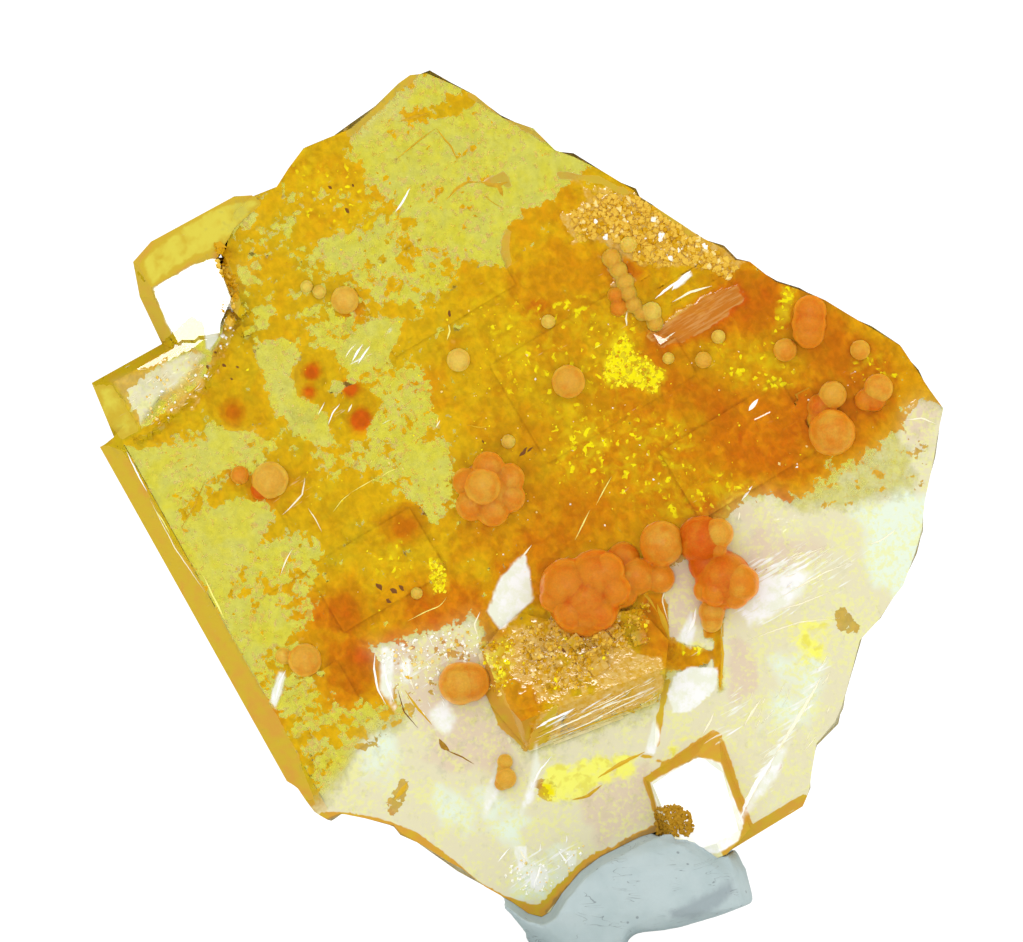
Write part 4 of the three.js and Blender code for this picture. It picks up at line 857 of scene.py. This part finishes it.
dice = random.Random(7)
for tone, half, points in (
    (WHITE_GLINT, .04, path(-3.75, 23.34, -3.54, 23.61, -3.3, 24.06)),
    (WHITE_GLINT, .032, path(-5.04, 18.84, -4.89, 19.14, -4.71, 19.38)),
    (WHITE_GLINT, .032, path(-4.86, 18.78, -4.71, 19.05, -4.5, 19.32)),
    (CREAM_GLINT, .021, path(-5.25, 18.96, -5.1, 19.2, -4.92, 19.38)),
    (WHITE_GLINT, .024, path(-5.76, 16.95, -5.61, 17.34, -5.4, 17.58)),
    (CREAM_GLINT, .021, path(-6.06, 17.25, -5.85, 17.64)),
    (LEMON, .015, path(-3.66, 15.66, -3.96, 15.54, -4.2, 15.36)),
    (LEMON, .013, path(-4.32, 15.36, -4.74, 15.12, -5.04, 14.94)),
    (LEMON, .013, path(-5.04, 14.94, -5.34, 14.7, -5.61, 14.34)),
    (CREAM_GLINT, .028, path(-6.45, 15.36, -6.54, 14.85, -6.9, 14.46, -7.14, 14.25)),
    (CREAM_GLINT, .017, path(-6.36, 14.46, -6.12, 14.1, -5.94, 13.74)),
    (CREAM_GLINT, .021, path(-6.81, 13.26, -7.02, 12.9, -7.2, 12.42)),
    (LEMON, .028, path(-9.51, 12.45, -9.21, 11.82, -8.82, 11.04)),
    (LEMON, .017, path(-3.36, 11.07, -2.85, 11.34, -2.4, 11.52, -2.19, 11.79)),
    (WHITE_GLINT, .032, path(-4.35, 10.14, -4.38, 9.6, -4.26, 9, -4.02, 8.55)),
    (WHITE_GLINT, .04, path(-4.08, 9.9, -4.02, 9.3, -3.78, 8.64)),
    (CREAM_GLINT, .028, path(-3.6, 10.05, -3.36, 9.54, -3.18, 9)),
    (GOLD, .04, path(-3.45, 9, -3.15, 8.55, -2.64, 7.95)),
    (BROWN, .02, path(-3.66, 9, -3.48, 8.34, -3.06, 7.86)),
    (WHITE_GLINT, .08, path(4.56, 21, 4.86, 21.33, 5.13, 21.57)),
    (WHITE_GLINT, .04, path(4.05, 20.73, 4.44, 21.06, 4.8, 21.33)),
    (CREAM_GLINT, .035, path(4.56, 20.64, 5.1, 20.94, 5.76, 21.12)),
    (CREAM_GLINT, .035, path(4.14, 19.41, 4.38, 19.53, 4.65, 19.74)),
    (WHITE_GLINT, .072, path(6.87, 17.37, 6.99, 17.55, 7.14, 17.73)),
    (CREAM_GLINT, .028, path(3.21, 19.92, 3.18, 20.16, 3.21, 20.37)),
    (CREAM_GLINT, .021, path(7.8, 11.76, 8.4, 12.12, 9.18, 12.54, 9.96, 12.84)),
    (CREAM_GLINT, .017, path(7.5, 11.34, 8.4, 11.58, 9.45, 12)),
    (CREAM_GLINT, .017, path(9.6, 11.16, 8.4, 11.04, 7.5, 10.74, 6.75, 10.44)),
    (CREAM_GLINT, .014, path(7.95, 12.9, 8.76, 13.14, 9.24, 13.35)),
    (CREAM_GLINT, .021, path(10.44, 13.35, 10.86, 13.5, 11.34, 13.86)),
    (WHITE_GLINT, .072, path(6.54, 5.04, 6.96, 6, 7.65, 7.05)),
    (CREAM_GLINT, .049, path(7.65, 7.05, 8.4, 8.25, 9.06, 9.42)),
    (CREAM_GLINT, .028, path(6.72, 7.92, 6.96, 8.34, 7.26, 8.76)),
    (CREAM_GLINT, .028, path(5.46, 7.65, 5.7, 8.04, 5.82, 8.34)),
    (WHITE_GLINT, .032, path(0.3, 6, 0.6, 6.6, 0.96, 7.02)),
    (WHITE_GLINT, .04, path(0.63, 3.84, 0.57, 3.48, 0.39, 3.06)),
    (WHITE_GLINT, .032, path(1.14, 4.2, 1.38, 3.84, 1.68, 4.14)), (CREAM_GLINT, .028, path(0, 4.2, 0.18, 3.9)),
    (WHITE_GLINT, .024, path(-0.66, 3.84, -0.42, 4.14, -0.3, 4.26)),
    (CREAM_GLINT, .035, path(0.48, 7.56, 1.5, 8.04, 2.7, 8.58, 3.9, 9)),
    (WHITE_GLINT, .056, path(0.48, 7.86, 0.96, 8.16, 1.65, 8.46)),
    (CREAM_GLINT, .028, path(1.2, 7.65, 2.1, 8.04, 3, 8.52, 3.84, 8.88)),
    (GOLD, .032, path(0.75, 7.44, 2.1, 7.98, 3.6, 8.52)),
    (GOLD, .024, path(1.44, 8.04, 2.4, 8.55, 3.24, 8.85)),
    (CREAM_GLINT, .021, path(1.95, 8.34, 2.7, 8.7, 3.6, 9.18)),
    (0.17, .025, path(-2.22, 7.2, -1.74, 6.99, -1.38, 6.78)),
    (0.2, .09, path(-2.43, 7.53, -2.31, 7.35, -2.13, 7.17)),
    (OLIVE, .05, path(-2.22, 23.7, -1.95, 24, -1.62, 24.24, -1.2, 24.24)),
    (OLIVE, .072, path(-1.2, 24.24, -0.75, 24.12, -0.36, 24.24)),
    (OLIVE, .08, path(-0.66, 24.18, -0.6, 24, -0.51, 23.82)),
    (OLIVE, .04, path(-3.66, 26.04, -3.3, 26.16, -2.7, 26.31)),
    (OLIVE, .032, path(-2.52, 25.86, -2.28, 25.56, -2.04, 25.26, -1.86, 24.84)),
    (OLIVE, .024, path(-3.75, 24.9, -3, 25.5, -2.52, 25.86)),
    (OLIVE, .016, path(-1.2, 23.94, -0.84, 23.64, -0.45, 23.4)),
    (OLIVE, .024, path(-9.45, 15.3, -9.75, 14.55, -10.2, 13.8)),
    (CREAM_GLINT, .028, path(-1.2, 11.34, -1.38, 10.95, -1.26, 10.62)),
    (CREAM_GLINT, .028, path(0.36, 13.35, 0.18, 13.14, 0, 12.9)),
    (WHITE_GLINT, .04, path(-7.32, 8.7, -7.2, 9.24, -7.02, 9.6)),
    (LEMON, .028, path(-10.95, 14.4, -10.71, 14.1, -10.5, 13.68)),
    (CREAM_GLINT, .021, path(4.44, 12.36, 4.26, 11.7, 4.44, 11.04)),
    (WHITE_GLINT, .048, path(4.98, 10.65, 5.22, 11.04, 5.28, 11.46)),
    (GOLD, .08, path(4.11, 11.58, 4.32, 11.04, 4.5, 10.5)),
    (GOLD, .04, path(3.6, 12, 3.9, 11.7, 4.11, 11.34)), (GOLD, .04, path(6.03, 10.8, 6.09, 10.05, 6, 9)),
    (CREAM_GLINT, .028, path(11.55, 17.1, 12.06, 17.16, 12.48, 16.98)),
    (LEMON, .028, path(-2.16, 20.04, -2.1, 19.8, -2.19, 19.5)),
    (CREAM_GLINT, .021, path(-2.52, 16.86, -2.4, 17.1)), (CREAM_GLINT, .028, path(-5.16, 17.34, -5.04, 17.58)),
    (LEMON, .017, path(2.28, 14.55, 2.52, 15, 2.76, 15.42)),
    (LEMON, .022, path(1.65, 13.5, 1.92, 14.04, 2.1, 14.4)),
    (WHITE_GLINT, .04, path(6.66, 14.7, 6.84, 14.94, 6.96, 15.12)), (CREAM_GLINT, .028, path(6.54, 14.1, 6.6, 14.34)),
    (LEMON, .014, path(-2.49, 16.98, -2.46, 17.22)),
    (GOLD, .024, path(-1.56, 16.95, -1.2, 16.86, -0.9, 16.92)),
    (GOLD, .06, path(2.34, 6.36, 3, 6.78, 3.75, 7.14)),
    (OLIVE, .05, path(1.56, 5.7, 2.04, 5.82, 2.46, 6.15)),
    (WHITE_GLINT, .035, path(-11.79, 16.14, -11.49, 15.54, -11.19, 14.94)),
    (CREAM_GLINT, .02, path(-11.1, 14.7, -10.35, 13.26, -9.45, 11.94)),
    (BROWN, .05, path(-9.42, 18.75, -9.33, 18.63)), (BROWN, .05, path(-8.94, 18.78, -8.82, 18.69)),
    (BROWN, .035, path(-9.18, 19.14, -9.09, 19.11)), (BROWN, .035, path(-8.52, 18.72, -8.43, 18.66)),
    (BROWN, .03, path(-8.7, 18.36, -8.61, 18.3)), (BROWN, .06, path(-5.25, 23.46, -5.13, 23.31)),
    (BROWN, .045, path(-5.76, 24.12, -5.64, 24.03)), (BROWN, .035, path(-5.04, 24.18, -4.98, 24.09)),
    (BROWN, .05, path(-2.13, 20.4, -2.1, 20.19)),
    (BROWN, .06, path(-0.03, 16.02, 0.12, 16.14, 0.21, 16.29)),
    (BROWN, .03, path(0.21, 16.14, 0.39, 16.29)), (BROWN, .08, path(-4.32, 12.21, -4.14, 12)),
    (BROWN, .09, path(-3.9, 12.03, -3.69, 11.91)), (BROWN, .06, path(-4.02, 11.73, -3.87, 11.61)),
    (BROWN, .06, path(-3.63, 12.15, -3.48, 11.97)), (BROWN, .06, path(1.2, 10.26, 1.38, 10.14)),
    (BROWN, .045, path(0.93, 10.05, 1.08, 9.9)), (BROWN, .04, path(1.56, 9.84, 1.71, 9.78)),
    (BROWN, .03, path(-6.45, 9.87, -6.39, 9.84)), (BROWN, .03, path(-1.14, 16.5, -1.08, 16.41)),
    (GOLD, .08, path(-3.75, 5.7, -3.54, 6, -3.36, 6.24)),
):
    step(tone, half, points)


def somewhere_in(outline):
    """A place inside a closed outline, at random."""
    low_x, low_z = min(p[0] for p in outline), min(p[1] for p in outline)
    high_x, high_z = max(p[0] for p in outline), max(p[1] for p in outline)
    while True:
        x, z = dice.uniform(low_x, high_x), dice.uniform(low_z, high_z)
        crossings = sum((az <= z) != (bz <= z) and x < (bx - ax) * (z - az) / (bz - az) + ax
                        for (ax, az), (bx, bz) in zip(outline, outline[1:] + outline[:1]))
        if crossings % 2:
            return x, z


# Brushed lines of fine parallel steps, along the two grown directions; the white and cream ones are
# painted highlight streaks.
for tone, count, half, angle, length, outline in (
    (CREAM_GLINT, 22, .012, 24, .6, path(6.75, 12.9, 8.4, 13.35, 9.9, 12.84, 8.4, 11.7, 6.9, 11.04)),
    (CREAM_GLINT, 22, .013, 56, .7, path(6.75, 8.7, 9, 9.9, 9.3, 8.1, 8.1, 6.3, 6.84, 5.7)),
    (WHITE_GLINT, 16, .014, 112, .3, path(-4.2, 9.9, -2.4, 10.5, -1.35, 9, -2.1, 7.8, -3.6, 8.25)),
    (CREAM_GLINT, 14, .011, 27, .7, path(0.45, 7.65, 2.4, 8.7, 4.05, 9.3, 4.05, 8.7, 2.4, 8.04)),
    (GOLD, 9, .013, 27, .7, path(0.45, 7.56, 2.4, 8.58, 4.05, 9.18, 4.05, 8.76, 2.4, 8.04)),
    (WHITE_GLINT, 7, .018, 70, .3, path(-0.6, 4.2, 1.8, 4.5, 1.5, 3.3, 0.3, 2.85)),
    (LEMON, 12, .008, 63, .25, path(-6.6, 17.7, -3.6, 20.1, -3.6, 15.9, -5.7, 14.1)),
    (CREAM_GLINT, 26, .012, 30, .35, path(-12, 17.85, -9.9, 19.14, -9.15, 18.3, -10.8, 16.95, -11.4, 16.95)),
):
    for _ in range(count):
        x, z = somewhere_in(outline)
        turn = math.radians(angle + dice.uniform(-12, 12))
        long = length * dice.uniform(0.3, 1)
        step(tone, half * dice.uniform(0.6, 1.2),
             [(x, z), (x + math.cos(turn) * long / 2, z + math.sin(turn) * long / 2),
              (x + math.cos(turn + 0.1) * long, z + math.sin(turn + 0.1) * long)])
step_mesh = bpy.data.meshes.new("growth_steps")
steps.to_mesh(step_mesh)
steps.free()
ridge_shine, tree, output = start("step_edge")
mm = in_mm()
tone = plus(field("tone"), times(even(grain(0.15, 2)), 0.25))
edge_colour = shades(tone, rgb(0.20, 0.07, 0.01), (0.05, 0.4, 0.68, 0.40, 0.006),
                     (0.5, 0.72, 0.93, 0.88, 0.22), (0.75, 0.88, 0.96, 0.90, 0.66),
                     (0.9, 1.0, 1.0, 1.0, 0.95))
surface = put(tree, "ShaderNodeBsdfPrincipled", {"Base Color": edge_colour, "Roughness": 0.3,
                                                 "Specular IOR Level": 0.3})
tree.links.new(surface, output.inputs["Surface"])
step_mesh.materials.append(ridge_shine)
growth = stand("wulfenite_growth_steps", step_mesh)
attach(growth, "root")

# ---- The druse: a sugar of very small wulfenite crystals on the crumbly patches of the front, all grown on
# to the tablet, pale honey to clear. A few are painted white or bright yellow as glints, where facets
# would flash.
druse = bmesh.new()
druse_tone = druse.verts.layers.float.new("tone")


def grow_druse(count, small_size, large_size, tones, outline, out=0.8):
    """Small eight-faced crystals at random over an outline, half sunk in and turned every way."""
    for _ in range(count):
        x, z = somewhere_in(outline)
        y = face_depth(x, z)
        if y is None:
            continue
        size = small_size + (large_size - small_size) * dice.random() ** 2
        spin = Quaternion([dice.gauss(0, 1) for _ in range(4)]).normalized()
        wide, long, tall = size / 2, size / 2 * dice.uniform(0.7, 1.4), size / 2 * out
        tone = dice.choice(tones)
        corners = []
        for point in ((wide, 0, 0), (0, tall, 0), (-wide, 0, 0), (0, -tall, 0), (0, 0, long), (0, 0, -long)):
            px, py, pz = spin @ Vector(point)
            v = druse.verts.new(on_tablet(x + px, min(y + py, y + 0.1), z + pz))
            v[druse_tone] = tone
            corners.append(v)
        for i in range(4):
            druse.faces.new((corners[i], corners[(i + 1) % 4], corners[4]))
            druse.faces.new((corners[(i + 1) % 4], corners[i], corners[5]))


# SUN and FLASH crystals are painted glints, bright yellow and white.
BARK, HONEY, TAN, CLEAR, SUN, FLASH = -0.4, 0.0, 0.2, 0.45, 0.75, 1.0
grow_druse(1100, .08, .3, (TAN,) * 26 + (CLEAR,) * 4 + (HONEY,) * 9 + (FLASH,),
           path(1.44, 23.16, 2.4, 23.82, 3.48, 23.82, 4.2, 23.28, 5.4, 22.5, 6.54, 21.72, 6.24, 21.3,
               5.76, 21.6, 5.1, 21.78, 4.35, 21.72, 3.6, 21.78, 3, 22.44, 2.4, 22.59, 1.8, 22.5))
grow_druse(700, .06, .22, (TAN,) * 10 + (HONEY,) * 10 + (BARK,) * 3 + (CLEAR, SUN),
           path(0, 10.86, 1.2, 11.16, 3.9, 11.64, 3.9, 10.5, 2.4, 9.9, 2.1, 9, 0.6, 9, 0, 9.6))
grow_druse(60, .05, .16, (CLEAR, CLEAR, FLASH, CLEAR, TAN), path(-11.55, 17.76, -10.8, 18.54, -9.66, 19.05,
    -9.24, 18.54, -9.9, 17.82, -10.56, 17.1, -11.1, 17.1))
grow_druse(170, .05, .17, (FLASH, FLASH, CLEAR, FLASH, TAN), path(-4.32, 10.2, -3, 10.62, -1.35, 11.04,
    -1.14, 10.2, -1.74, 9.54, -2.7, 9, -3.6, 9))
grow_druse(120, .06, .2, (HONEY, HONEY, SUN, CLEAR), path(-1.14, 10.44, -0.24, 10.74, 0, 9.9, -0.6, 8.7,
    -1.02, 9))
grow_druse(70, .05, .14, (FLASH, FLASH, CLEAR), path(-0.6, 3.6, 0.75, 4.2, 2.1, 4.35, 1.65, 3.6, 0.75, 2.85,
    0, 2.85))
grow_druse(70, .05, .16, (FLASH, CLEAR, HONEY), path(-8.94, 20.7, -8.58, 20.7, -8.52, 20.1, -8.7, 19.26,
    -9.06, 19.14, -8.94, 19.8))
grow_druse(12, .3, .42, (HONEY,), path(-9.03, 22.38, -8.82, 22.26, -8.76, 21.84, -8.97, 21.84))
grow_druse(10, .25, .36, (HONEY, TAN), path(-8.82, 20.58, -8.52, 20.52, -8.58, 20.04, -8.79, 20.04))
grow_druse(130, .1, .24, (HONEY, HONEY, HONEY, TAN), path(-9.15, 22.62, -8.97, 22.32, -8.79, 21.84,
    -8.49, 21.15, -8.4, 20.64, -8.61, 20.64, -8.79, 21.12, -9.09, 21.72))
grow_druse(160, .05, .17, (SUN, SUN, HONEY), path(2.4, 18.45, 2.76, 19.35, 3.15, 19.65, 3.6, 19.14,
    4.44, 18.54, 4.05, 17.85, 3, 18.06))
grow_druse(60, .05, .15, (SUN, HONEY), path(-2.7, 12.84, -2.25, 12.84, -2.22, 11.94, -2.58, 11.88))
grow_druse(150, .04, .1, (SUN, SUN, HONEY, CLEAR, FLASH), path(-1.8, 20.1, 3, 20.7, 7.2, 18.9, 10.8, 19.2,
    11.1, 17.1, 7.8, 15.3, 3.6, 14.7, 0, 11.7, -1.5, 14.1))
grow_druse(90, .04, .1, (SUN, SUN, HONEY, CLEAR), path(-6.9, 24.9, -4.8, 24.9, -3, 21.3, 1.2, 21.3,
    0.6, 14.1, -5.7, 10.5, -8.4, 14.1, -8.7, 20.7))
grow_druse(300, .12, .24, (BARK,), path(4.05, 5.43, 4.44, 5.58, 4.86, 5.49, 5.13, 5.28, 5.22, 4.86,
    5.04, 4.68, 4.08, 4.56))
druse_mesh = bpy.data.meshes.new("druse")
druse.to_mesh(druse_mesh)
druse.free()
sugar, tree, output = start("druse")
tone = field("tone")
tone = num("MULTIPLY_ADD", even(grain(0.5, 3, 0.6)), 0.3, tone)
sugar_colour = shades(tone, rgb(0.46, 0.24, 0.012), (-0.4, -0.1, 0.64, 0.34, 0.004),
                      (0.0, 0.2, 0.79, 0.50, 0.055), (0.25, 0.45, 0.90, 0.70, 0.25),
                      (0.5, 0.75, 1.0, 0.86, 0.002), (0.8, 1.0, 1.0, 1.0, 0.92))
surface = put(tree, "ShaderNodeBsdfPrincipled", {
    "Base Color": sugar_colour, "Roughness": 0.35, "IOR": 1.5, "Specular IOR Level": 0.15})
tree.links.new(surface, output.inputs["Surface"])
druse_mesh.materials.append(sugar)
sugar_crust = stand("wulfenite_druse", druse_mesh)
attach(sugar_crust, "root")

# ---- The mimetite: small waxy balls of a second mineral, peach to deep orange, grown on to both faces of the
# tablet singly and in clumps, where the balls run into each other. Each is rounded, with a flat seat.
SEAT = 0.03
mimetite, tree, output = start("mimetite")
mm = in_mm()
deep = plus(field("deep"), times(even(grain(0.4, 3, 0.6)), 1.0))
# Painted light: each ball a little paler towards its middle.
deep = plus(deep, ramp(field("ring"), 0.1, 1.05, -0.05, 0.0))
# Painted shade: deeper orange in the creases where balls meet.
deep = plus(deep, times(field("crease"), 0.06))
wax = shades(deep, rgb(0.70, 0.51, 0.085), (-0.4, 0.1, 0.66, 0.365, 0.035), (0.1, 0.55, 0.65, 0.228, 0.009),
             (0.55, 1.0, 0.62, 0.115, 0.001))
ring = num("SINE", times(field("ring"), 15.0))
ring = times(ring, ramp(field("ring"), 0.25, 0.75))
speckle = ramp(grain(0.06, 2, 0.6), 0.3, 0.7, 0.93, 1.05)
glow = times(speckle, ramp(ring, -1, 1, 0.98, 1.02))
# Painted glow: each ball lighter towards its edge.
glow = times(glow, ramp(field("ring"), 0.7, 1.0, 0.98, 1.2))
wax = dimmed(wax, glow)
bump = put(tree, "ShaderNodeBump", {"Strength": 0.4, "Distance": 0.00002, "Height": grain(0.12, 3, 0.6)})
surface = put(tree, "ShaderNodeBsdfPrincipled", {
    "Base Color": wax, "Roughness": 0.3, "Normal": bump, "Specular IOR Level": 0.4,
    "Subsurface Weight": 0.8, "Subsurface Radius": (1.0, 0.55, 0.25), "Subsurface Scale": 0.0006})
tree.links.new(surface, output.inputs["Surface"])

# Each ball: x and z on the tablet, radius, how deep its orange is, and for some how far its middle stands out
# of the face, as a share of its radius.
clumps = {
    "mimetite_large_clump": [
        (1.45, 12.1, .86, .62), (2.3, 12.35, .88, .66), (1.95, 11.65, 1.1, .72, .1),
        (1.4, 12.25, .55, .56, .95), (3.05, 11.95, .5, .6), (3.5, 12.4, .56, .5), (4.25, 13.4, .68, .42),
        (4.2, 12.35, .45, .5), (3.1, 12.95, .5, .75, 0), (2.62, 12.62, .5, .55, 1.3),
        (2.8, 12, .5, .6, 1.3), (1.55, 11.35, .55, .66, 1.1), (2.4, 11.3, .5, .7, 1.3),
        (1, 11.75, .42, .56, 1.2),
    ],
    "mimetite_right_clump": [
        (5.45, 13.5, .74, .9, .2), (5.95, 13.7, .46, .3, 1), (5.58, 13.1, .3, .45, 1.2),
        (5.55, 12.75, .5, 1, .3), (6.1, 12.3, .88, .75, .1), (6.6, 12.2, .58, .5, .8),
        (5.55, 12, .36, .6, .9), (5.75, 11.35, .4, .4), (5.75, 11.05, .33, .3), (6.15, 12.75, .45, .85),
        (5.9, 13.25, .3, .5, 1.5), (6.45, 11.85, .42, .6, 1), (5.85, 11.95, .42, .66, 1.2),
        (5.1, 13.6, .36, .8, .9),
    ],
    "mimetite_rosette": [
        (-.92, 14.98, .92, .5, .05), (-1.1, 15.1, .55, .28, 1.3), (-1.62, 15.25, .42, .45, .9),
        (-1.45, 14.55, .48, .42, .9), (-.82, 14.4, .5, .45, .9), (-.3, 14.78, .46, .4, .9),
        (-.32, 15.35, .46, .4, .9), (-.95, 15.68, .48, .5, .9),
    ],
    "mimetite_oval_ball": [(-1.8, 9.2, .65, .3), (-1.5, 9.25, .6, .4)],
    "mimetite_left_ball": [(-7.5, 15.3, .55, 0), (-7.78, 15, .3, .95)],
    "mimetite_lower_left_balls": [(-6.45, 9.9, .5, .2), (-7.1, 10.02, .26, 0)],
    "mimetite_middle_ball": [(1.45, 18.25, .5, .2)],
    "mimetite_upper_balls": [(-5.25, 20.7, .42, -.05)],
    "mimetite_edge_balls": [(8.7, 20.35, .5, .6), (8.66, 20, .52, .62), (8.66, 19.72, .48, .6)],
    "mimetite_right_balls": [
        (9.36, 16.72, .7, .4), (9.38, 17.85, .42, .2), (9.0, 17.5, .4, .7, 0), (9.0, 17.1, .4, .6, 0),
    ],
    "mimetite_far_right_balls": [
        (10.75, 18.05, .44, .3), (10.35, 17.7, .32, .6), (10.6, 17.75, .4, .7, 0.1),
    ],
    "mimetite_ridge": [
        (2.75, 21.95, .3, .15, 0), (2.95, 21.6, .28, .1, 0), (3.15, 21.25, .28, .1, 0),
        (3.25, 20.9, .26, .15, 0), (3.4, 20.55, .26, .2, 0), (3.65, 20.3, .24, .1, 0),
        (3.95, 20.35, .3, -.2, .2), (4.05, 20, .26, .1, 0), (3.25, 22.35, .26, -.2, .3),
        (2.95, 20.45, .26, .6, -.1), (2.85, 20.85, .24, .5, -.1),
    ],
    "mimetite_lower_pair": [
        (-.45, 6.85, .24, .05), (-.5, 6.6, .2, .05), (-.42, 6.35, .32, .1), (-.55, 6.2, .22, .3),
    ],
}
single_beads = (
    (-1.85, 18.9, .35, -.2), (.85, 20.05, .21, -.2), (-6.4, 21.1, .19, -.2), (-6.02, 20.95, .21, -.1),
    (-3.1, 11.9, .18, -.05), (-.35, 16.45, .21, -.2), (5.95, 19.6, .21, -.15), (5.5, 18.9, .25, .1),
    (4.45, 18.95, .18, -.05), (7.95, 19.2, .35, .3), (10.2, 19.2, .3, .25), (-8.4, 15.45, .28, .45),
)
for number, bead in enumerate(single_beads, 1):
    clumps[f"mimetite_bead_{number}"] = [bead]
behind = (
    (-6.3, 18.45, .5), (-4.9, 17.5, .6), (-8.55, 17.35, .5), (-3.45, 13.95, .7), (-5, 11.4, .75),
    (-4.9, 9.5, .65), (6.9, 20.8, .8), (5.6, 17.5, 1), (.75, 6.05, .3),
)
for number, (x, z, r) in enumerate(behind, 1):
    clumps[f"mimetite_back_ball_{number}"] = [(x, z, r, .8)]


def melted(piece, finest, rounds):
    """The piece's mesh with its parts run together and its edges softened."""
    melt = piece.modifiers.new("melt", "REMESH")
    melt.mode = "VOXEL"
    melt.voxel_size = finest
    soften = piece.modifiers.new("soften", "SMOOTH")
    soften.iterations = rounds
    mesh = bpy.data.meshes.new_from_object(piece.evaluated_get(bpy.context.evaluated_depsgraph_get()))
    piece.modifiers.clear()
    piece.data = mesh
    return mesh


for name, balls in clumps.items():
    on_back = "back" in name
    front = [face_depth(x, z) or 0.0 for x, z, *_ in balls]
    middles = []
    for (x, z, r, deepness, *lifted), face_at in zip(balls, front):
        lift = r * (lifted or [0.35])[0]
        middles.append((x, THICK + lift if on_back else face_at - lift, z, r, deepness))
    grown = bmesh.new()
    for x, y, z, r, _ in middles:
        spot = Matrix.Translation(on_tablet(x, y, z))
        bmesh.ops.create_icosphere(grown, subdivisions=4, radius=r * MM, matrix=spot)
    short_name = name.removeprefix("mimetite_")
    mesh = bpy.data.meshes.new(short_name)
    grown.to_mesh(mesh)
    grown.free()
    ball = stand(short_name, mesh)
    largest = max(r for *_, r, _ in middles)
    if len(balls) > 1:
        # Balls grown together have soft seams between them.
        rounds = 30 if name in ("mimetite_ridge", "mimetite_edge_balls") else 12
        mesh = melted(ball, max(0.022, 0.035 * largest) * MM, rounds)
    deep_in, ring_in, crease_in = [], [], []
    for v in mesh.vertices:
        x, y, z = off_tablet(v.co)
        far, near = min((math.dist((x, y, z), m[:3]) / m[3], m) for m in middles)
        d = Vector((x - near[0], y - near[1], z - near[2]))
        swell = 0.03 * noise.noise(d.normalized() * 2 + Vector((near[0], 0, near[2])) * 3) * near[3]
        swell += 0.012 * near[3] * noise.noise(d.normalized() * 7 + Vector((near[0], near[2], 0)))
        spot = Vector((x, y, z)) + d.normalized() * swell
        seat = THICK + SEAT if on_back else max(front) - SEAT
        spot.y = max(spot.y, seat) if on_back else min(spot.y, seat)
        v.co = on_tablet(*spot)
        others = [math.dist((x, y, z), m[:3]) / m[3] for m in middles if m is not near]
        crease_in.append(max(0.0, 1 - (min(others) - far) / 0.16) ** 2 if others else 0.0)
        deep_in.append(near[4])
        ring_in.append(math.hypot(d.x, d.z) / near[3])
    store(mesh, deep=deep_in, ring=ring_in, crease=crease_in)
    for face in mesh.polygons:
        face.use_smooth = True
    mesh.materials.clear()
    mesh.materials.append(mimetite)
    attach(ball, "root")
    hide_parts(name)

# ---- The putty: a lump of grey-blue display putty, pressed by hand round the tablet's lower point and flat
# on the table. Matt, with faint scratches, a few dark specks, and a pressed hollow painted darker as shade.
putty, tree, output = start("putty")
mm = in_mm()
tone = ramp(grain(1.4, 4, 0.6), 0.3, 0.7, 0.0, 1.0)
clay = tint(tone, rgb(0.40, 0.49, 0.495), rgb(0.46, 0.545, 0.55))
# Painted shade: darker in the pressed hollow.
clay = tint(ramp(plus(field("hollow"), times(even(grain(0.3, 3)), 0.8)), 0.2, 0.9, 0, 0.8),
            clay, rgb(0.29, 0.345, 0.365))
grit = put(tree, "ShaderNodeSeparateColor", {0: cells(0.3, out=1)})
grit = times(ramp(cells(0.3), 0.2, 0.1), ramp(grit, 0.84, 0.86))
long_way = stretched((1, 1, 6), mm)
hairs = ramp(num("ABSOLUTE", even(grain(1.6, 2, 0.5, 1.2, at=long_way))), 0.014, 0.004)
hairs = times(hairs, ramp(grain(0.9, 2), 0.54, 0.6, 0, 0.6))
clay = tint(greater(times(grit, 0.6), hairs), clay, rgb(0.16, 0.18, 0.19))
knead = put(tree, "ShaderNodeBump", {"Strength": 0.5, "Distance": 0.00006, "Height": grain(0.35, 5, 0.65)})
surface = put(tree, "ShaderNodeBsdfPrincipled", {"Base Color": clay, "Roughness": 0.75, "Normal": knead,
                                                 "Specular IOR Level": 0.2})
tree.links.new(surface, output.inputs["Surface"])

lump = stand("putty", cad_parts["putty_foot"].data.copy())
putty_mesh = melted(lump, 0.07 * MM, 11)
PRESSED = path(4.44, 2.46, 5.1, 2.76, 5.76, 3.06, 6.36, 3.36, 6.48, 3, 5.88, 2.52, 5.22, 2.16, 4.56, 2.22)
hollow = []
outward = [v.normal.copy() for v in putty_mesh.vertices]
for v, out in zip(putty_mesh.vertices, outward):
    # The print closes up to the crystal, and the outside is uneven from the fingers.
    near, _, _, gap = crystal_skin.find_nearest(v.co)
    if gap < 0.7 * MM:
        v.co = near + (v.co - near) * max(0.05, (gap - 0.35 * MM) / (0.35 * MM))
    elif v.co.z > 0.3 * MM:
        x, y, z = v.co / MM
        v.co += out * 0.05 * MM * noise.noise(Vector((x, y, z)) * 0.9)
        v.co += out * 0.012 * MM * noise.noise(Vector((x, y, z)) * 4)
    x, y, z = off_tablet(v.co)
    inside = min(((bx - ax) * (z - az) - (bz - az) * (x - ax)) / math.hypot(bx - ax, bz - az) * -1
                 for (ax, az), (bx, bz) in zip(PRESSED, PRESSED[1:] + PRESSED[:1]))
    dent = max(0.0, min(1.0, 0.5 + inside / 0.4)) if y < 0.5 else 0.0
    hollow.append(dent)
    v.co += -face_out * 0.1 * MM * dent
store(putty_mesh, hollow=hollow)
for face in putty_mesh.polygons:
    face.use_smooth = True
putty_mesh.materials.clear()
putty_mesh.materials.append(putty)
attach(lump, "root")
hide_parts("putty_foot")
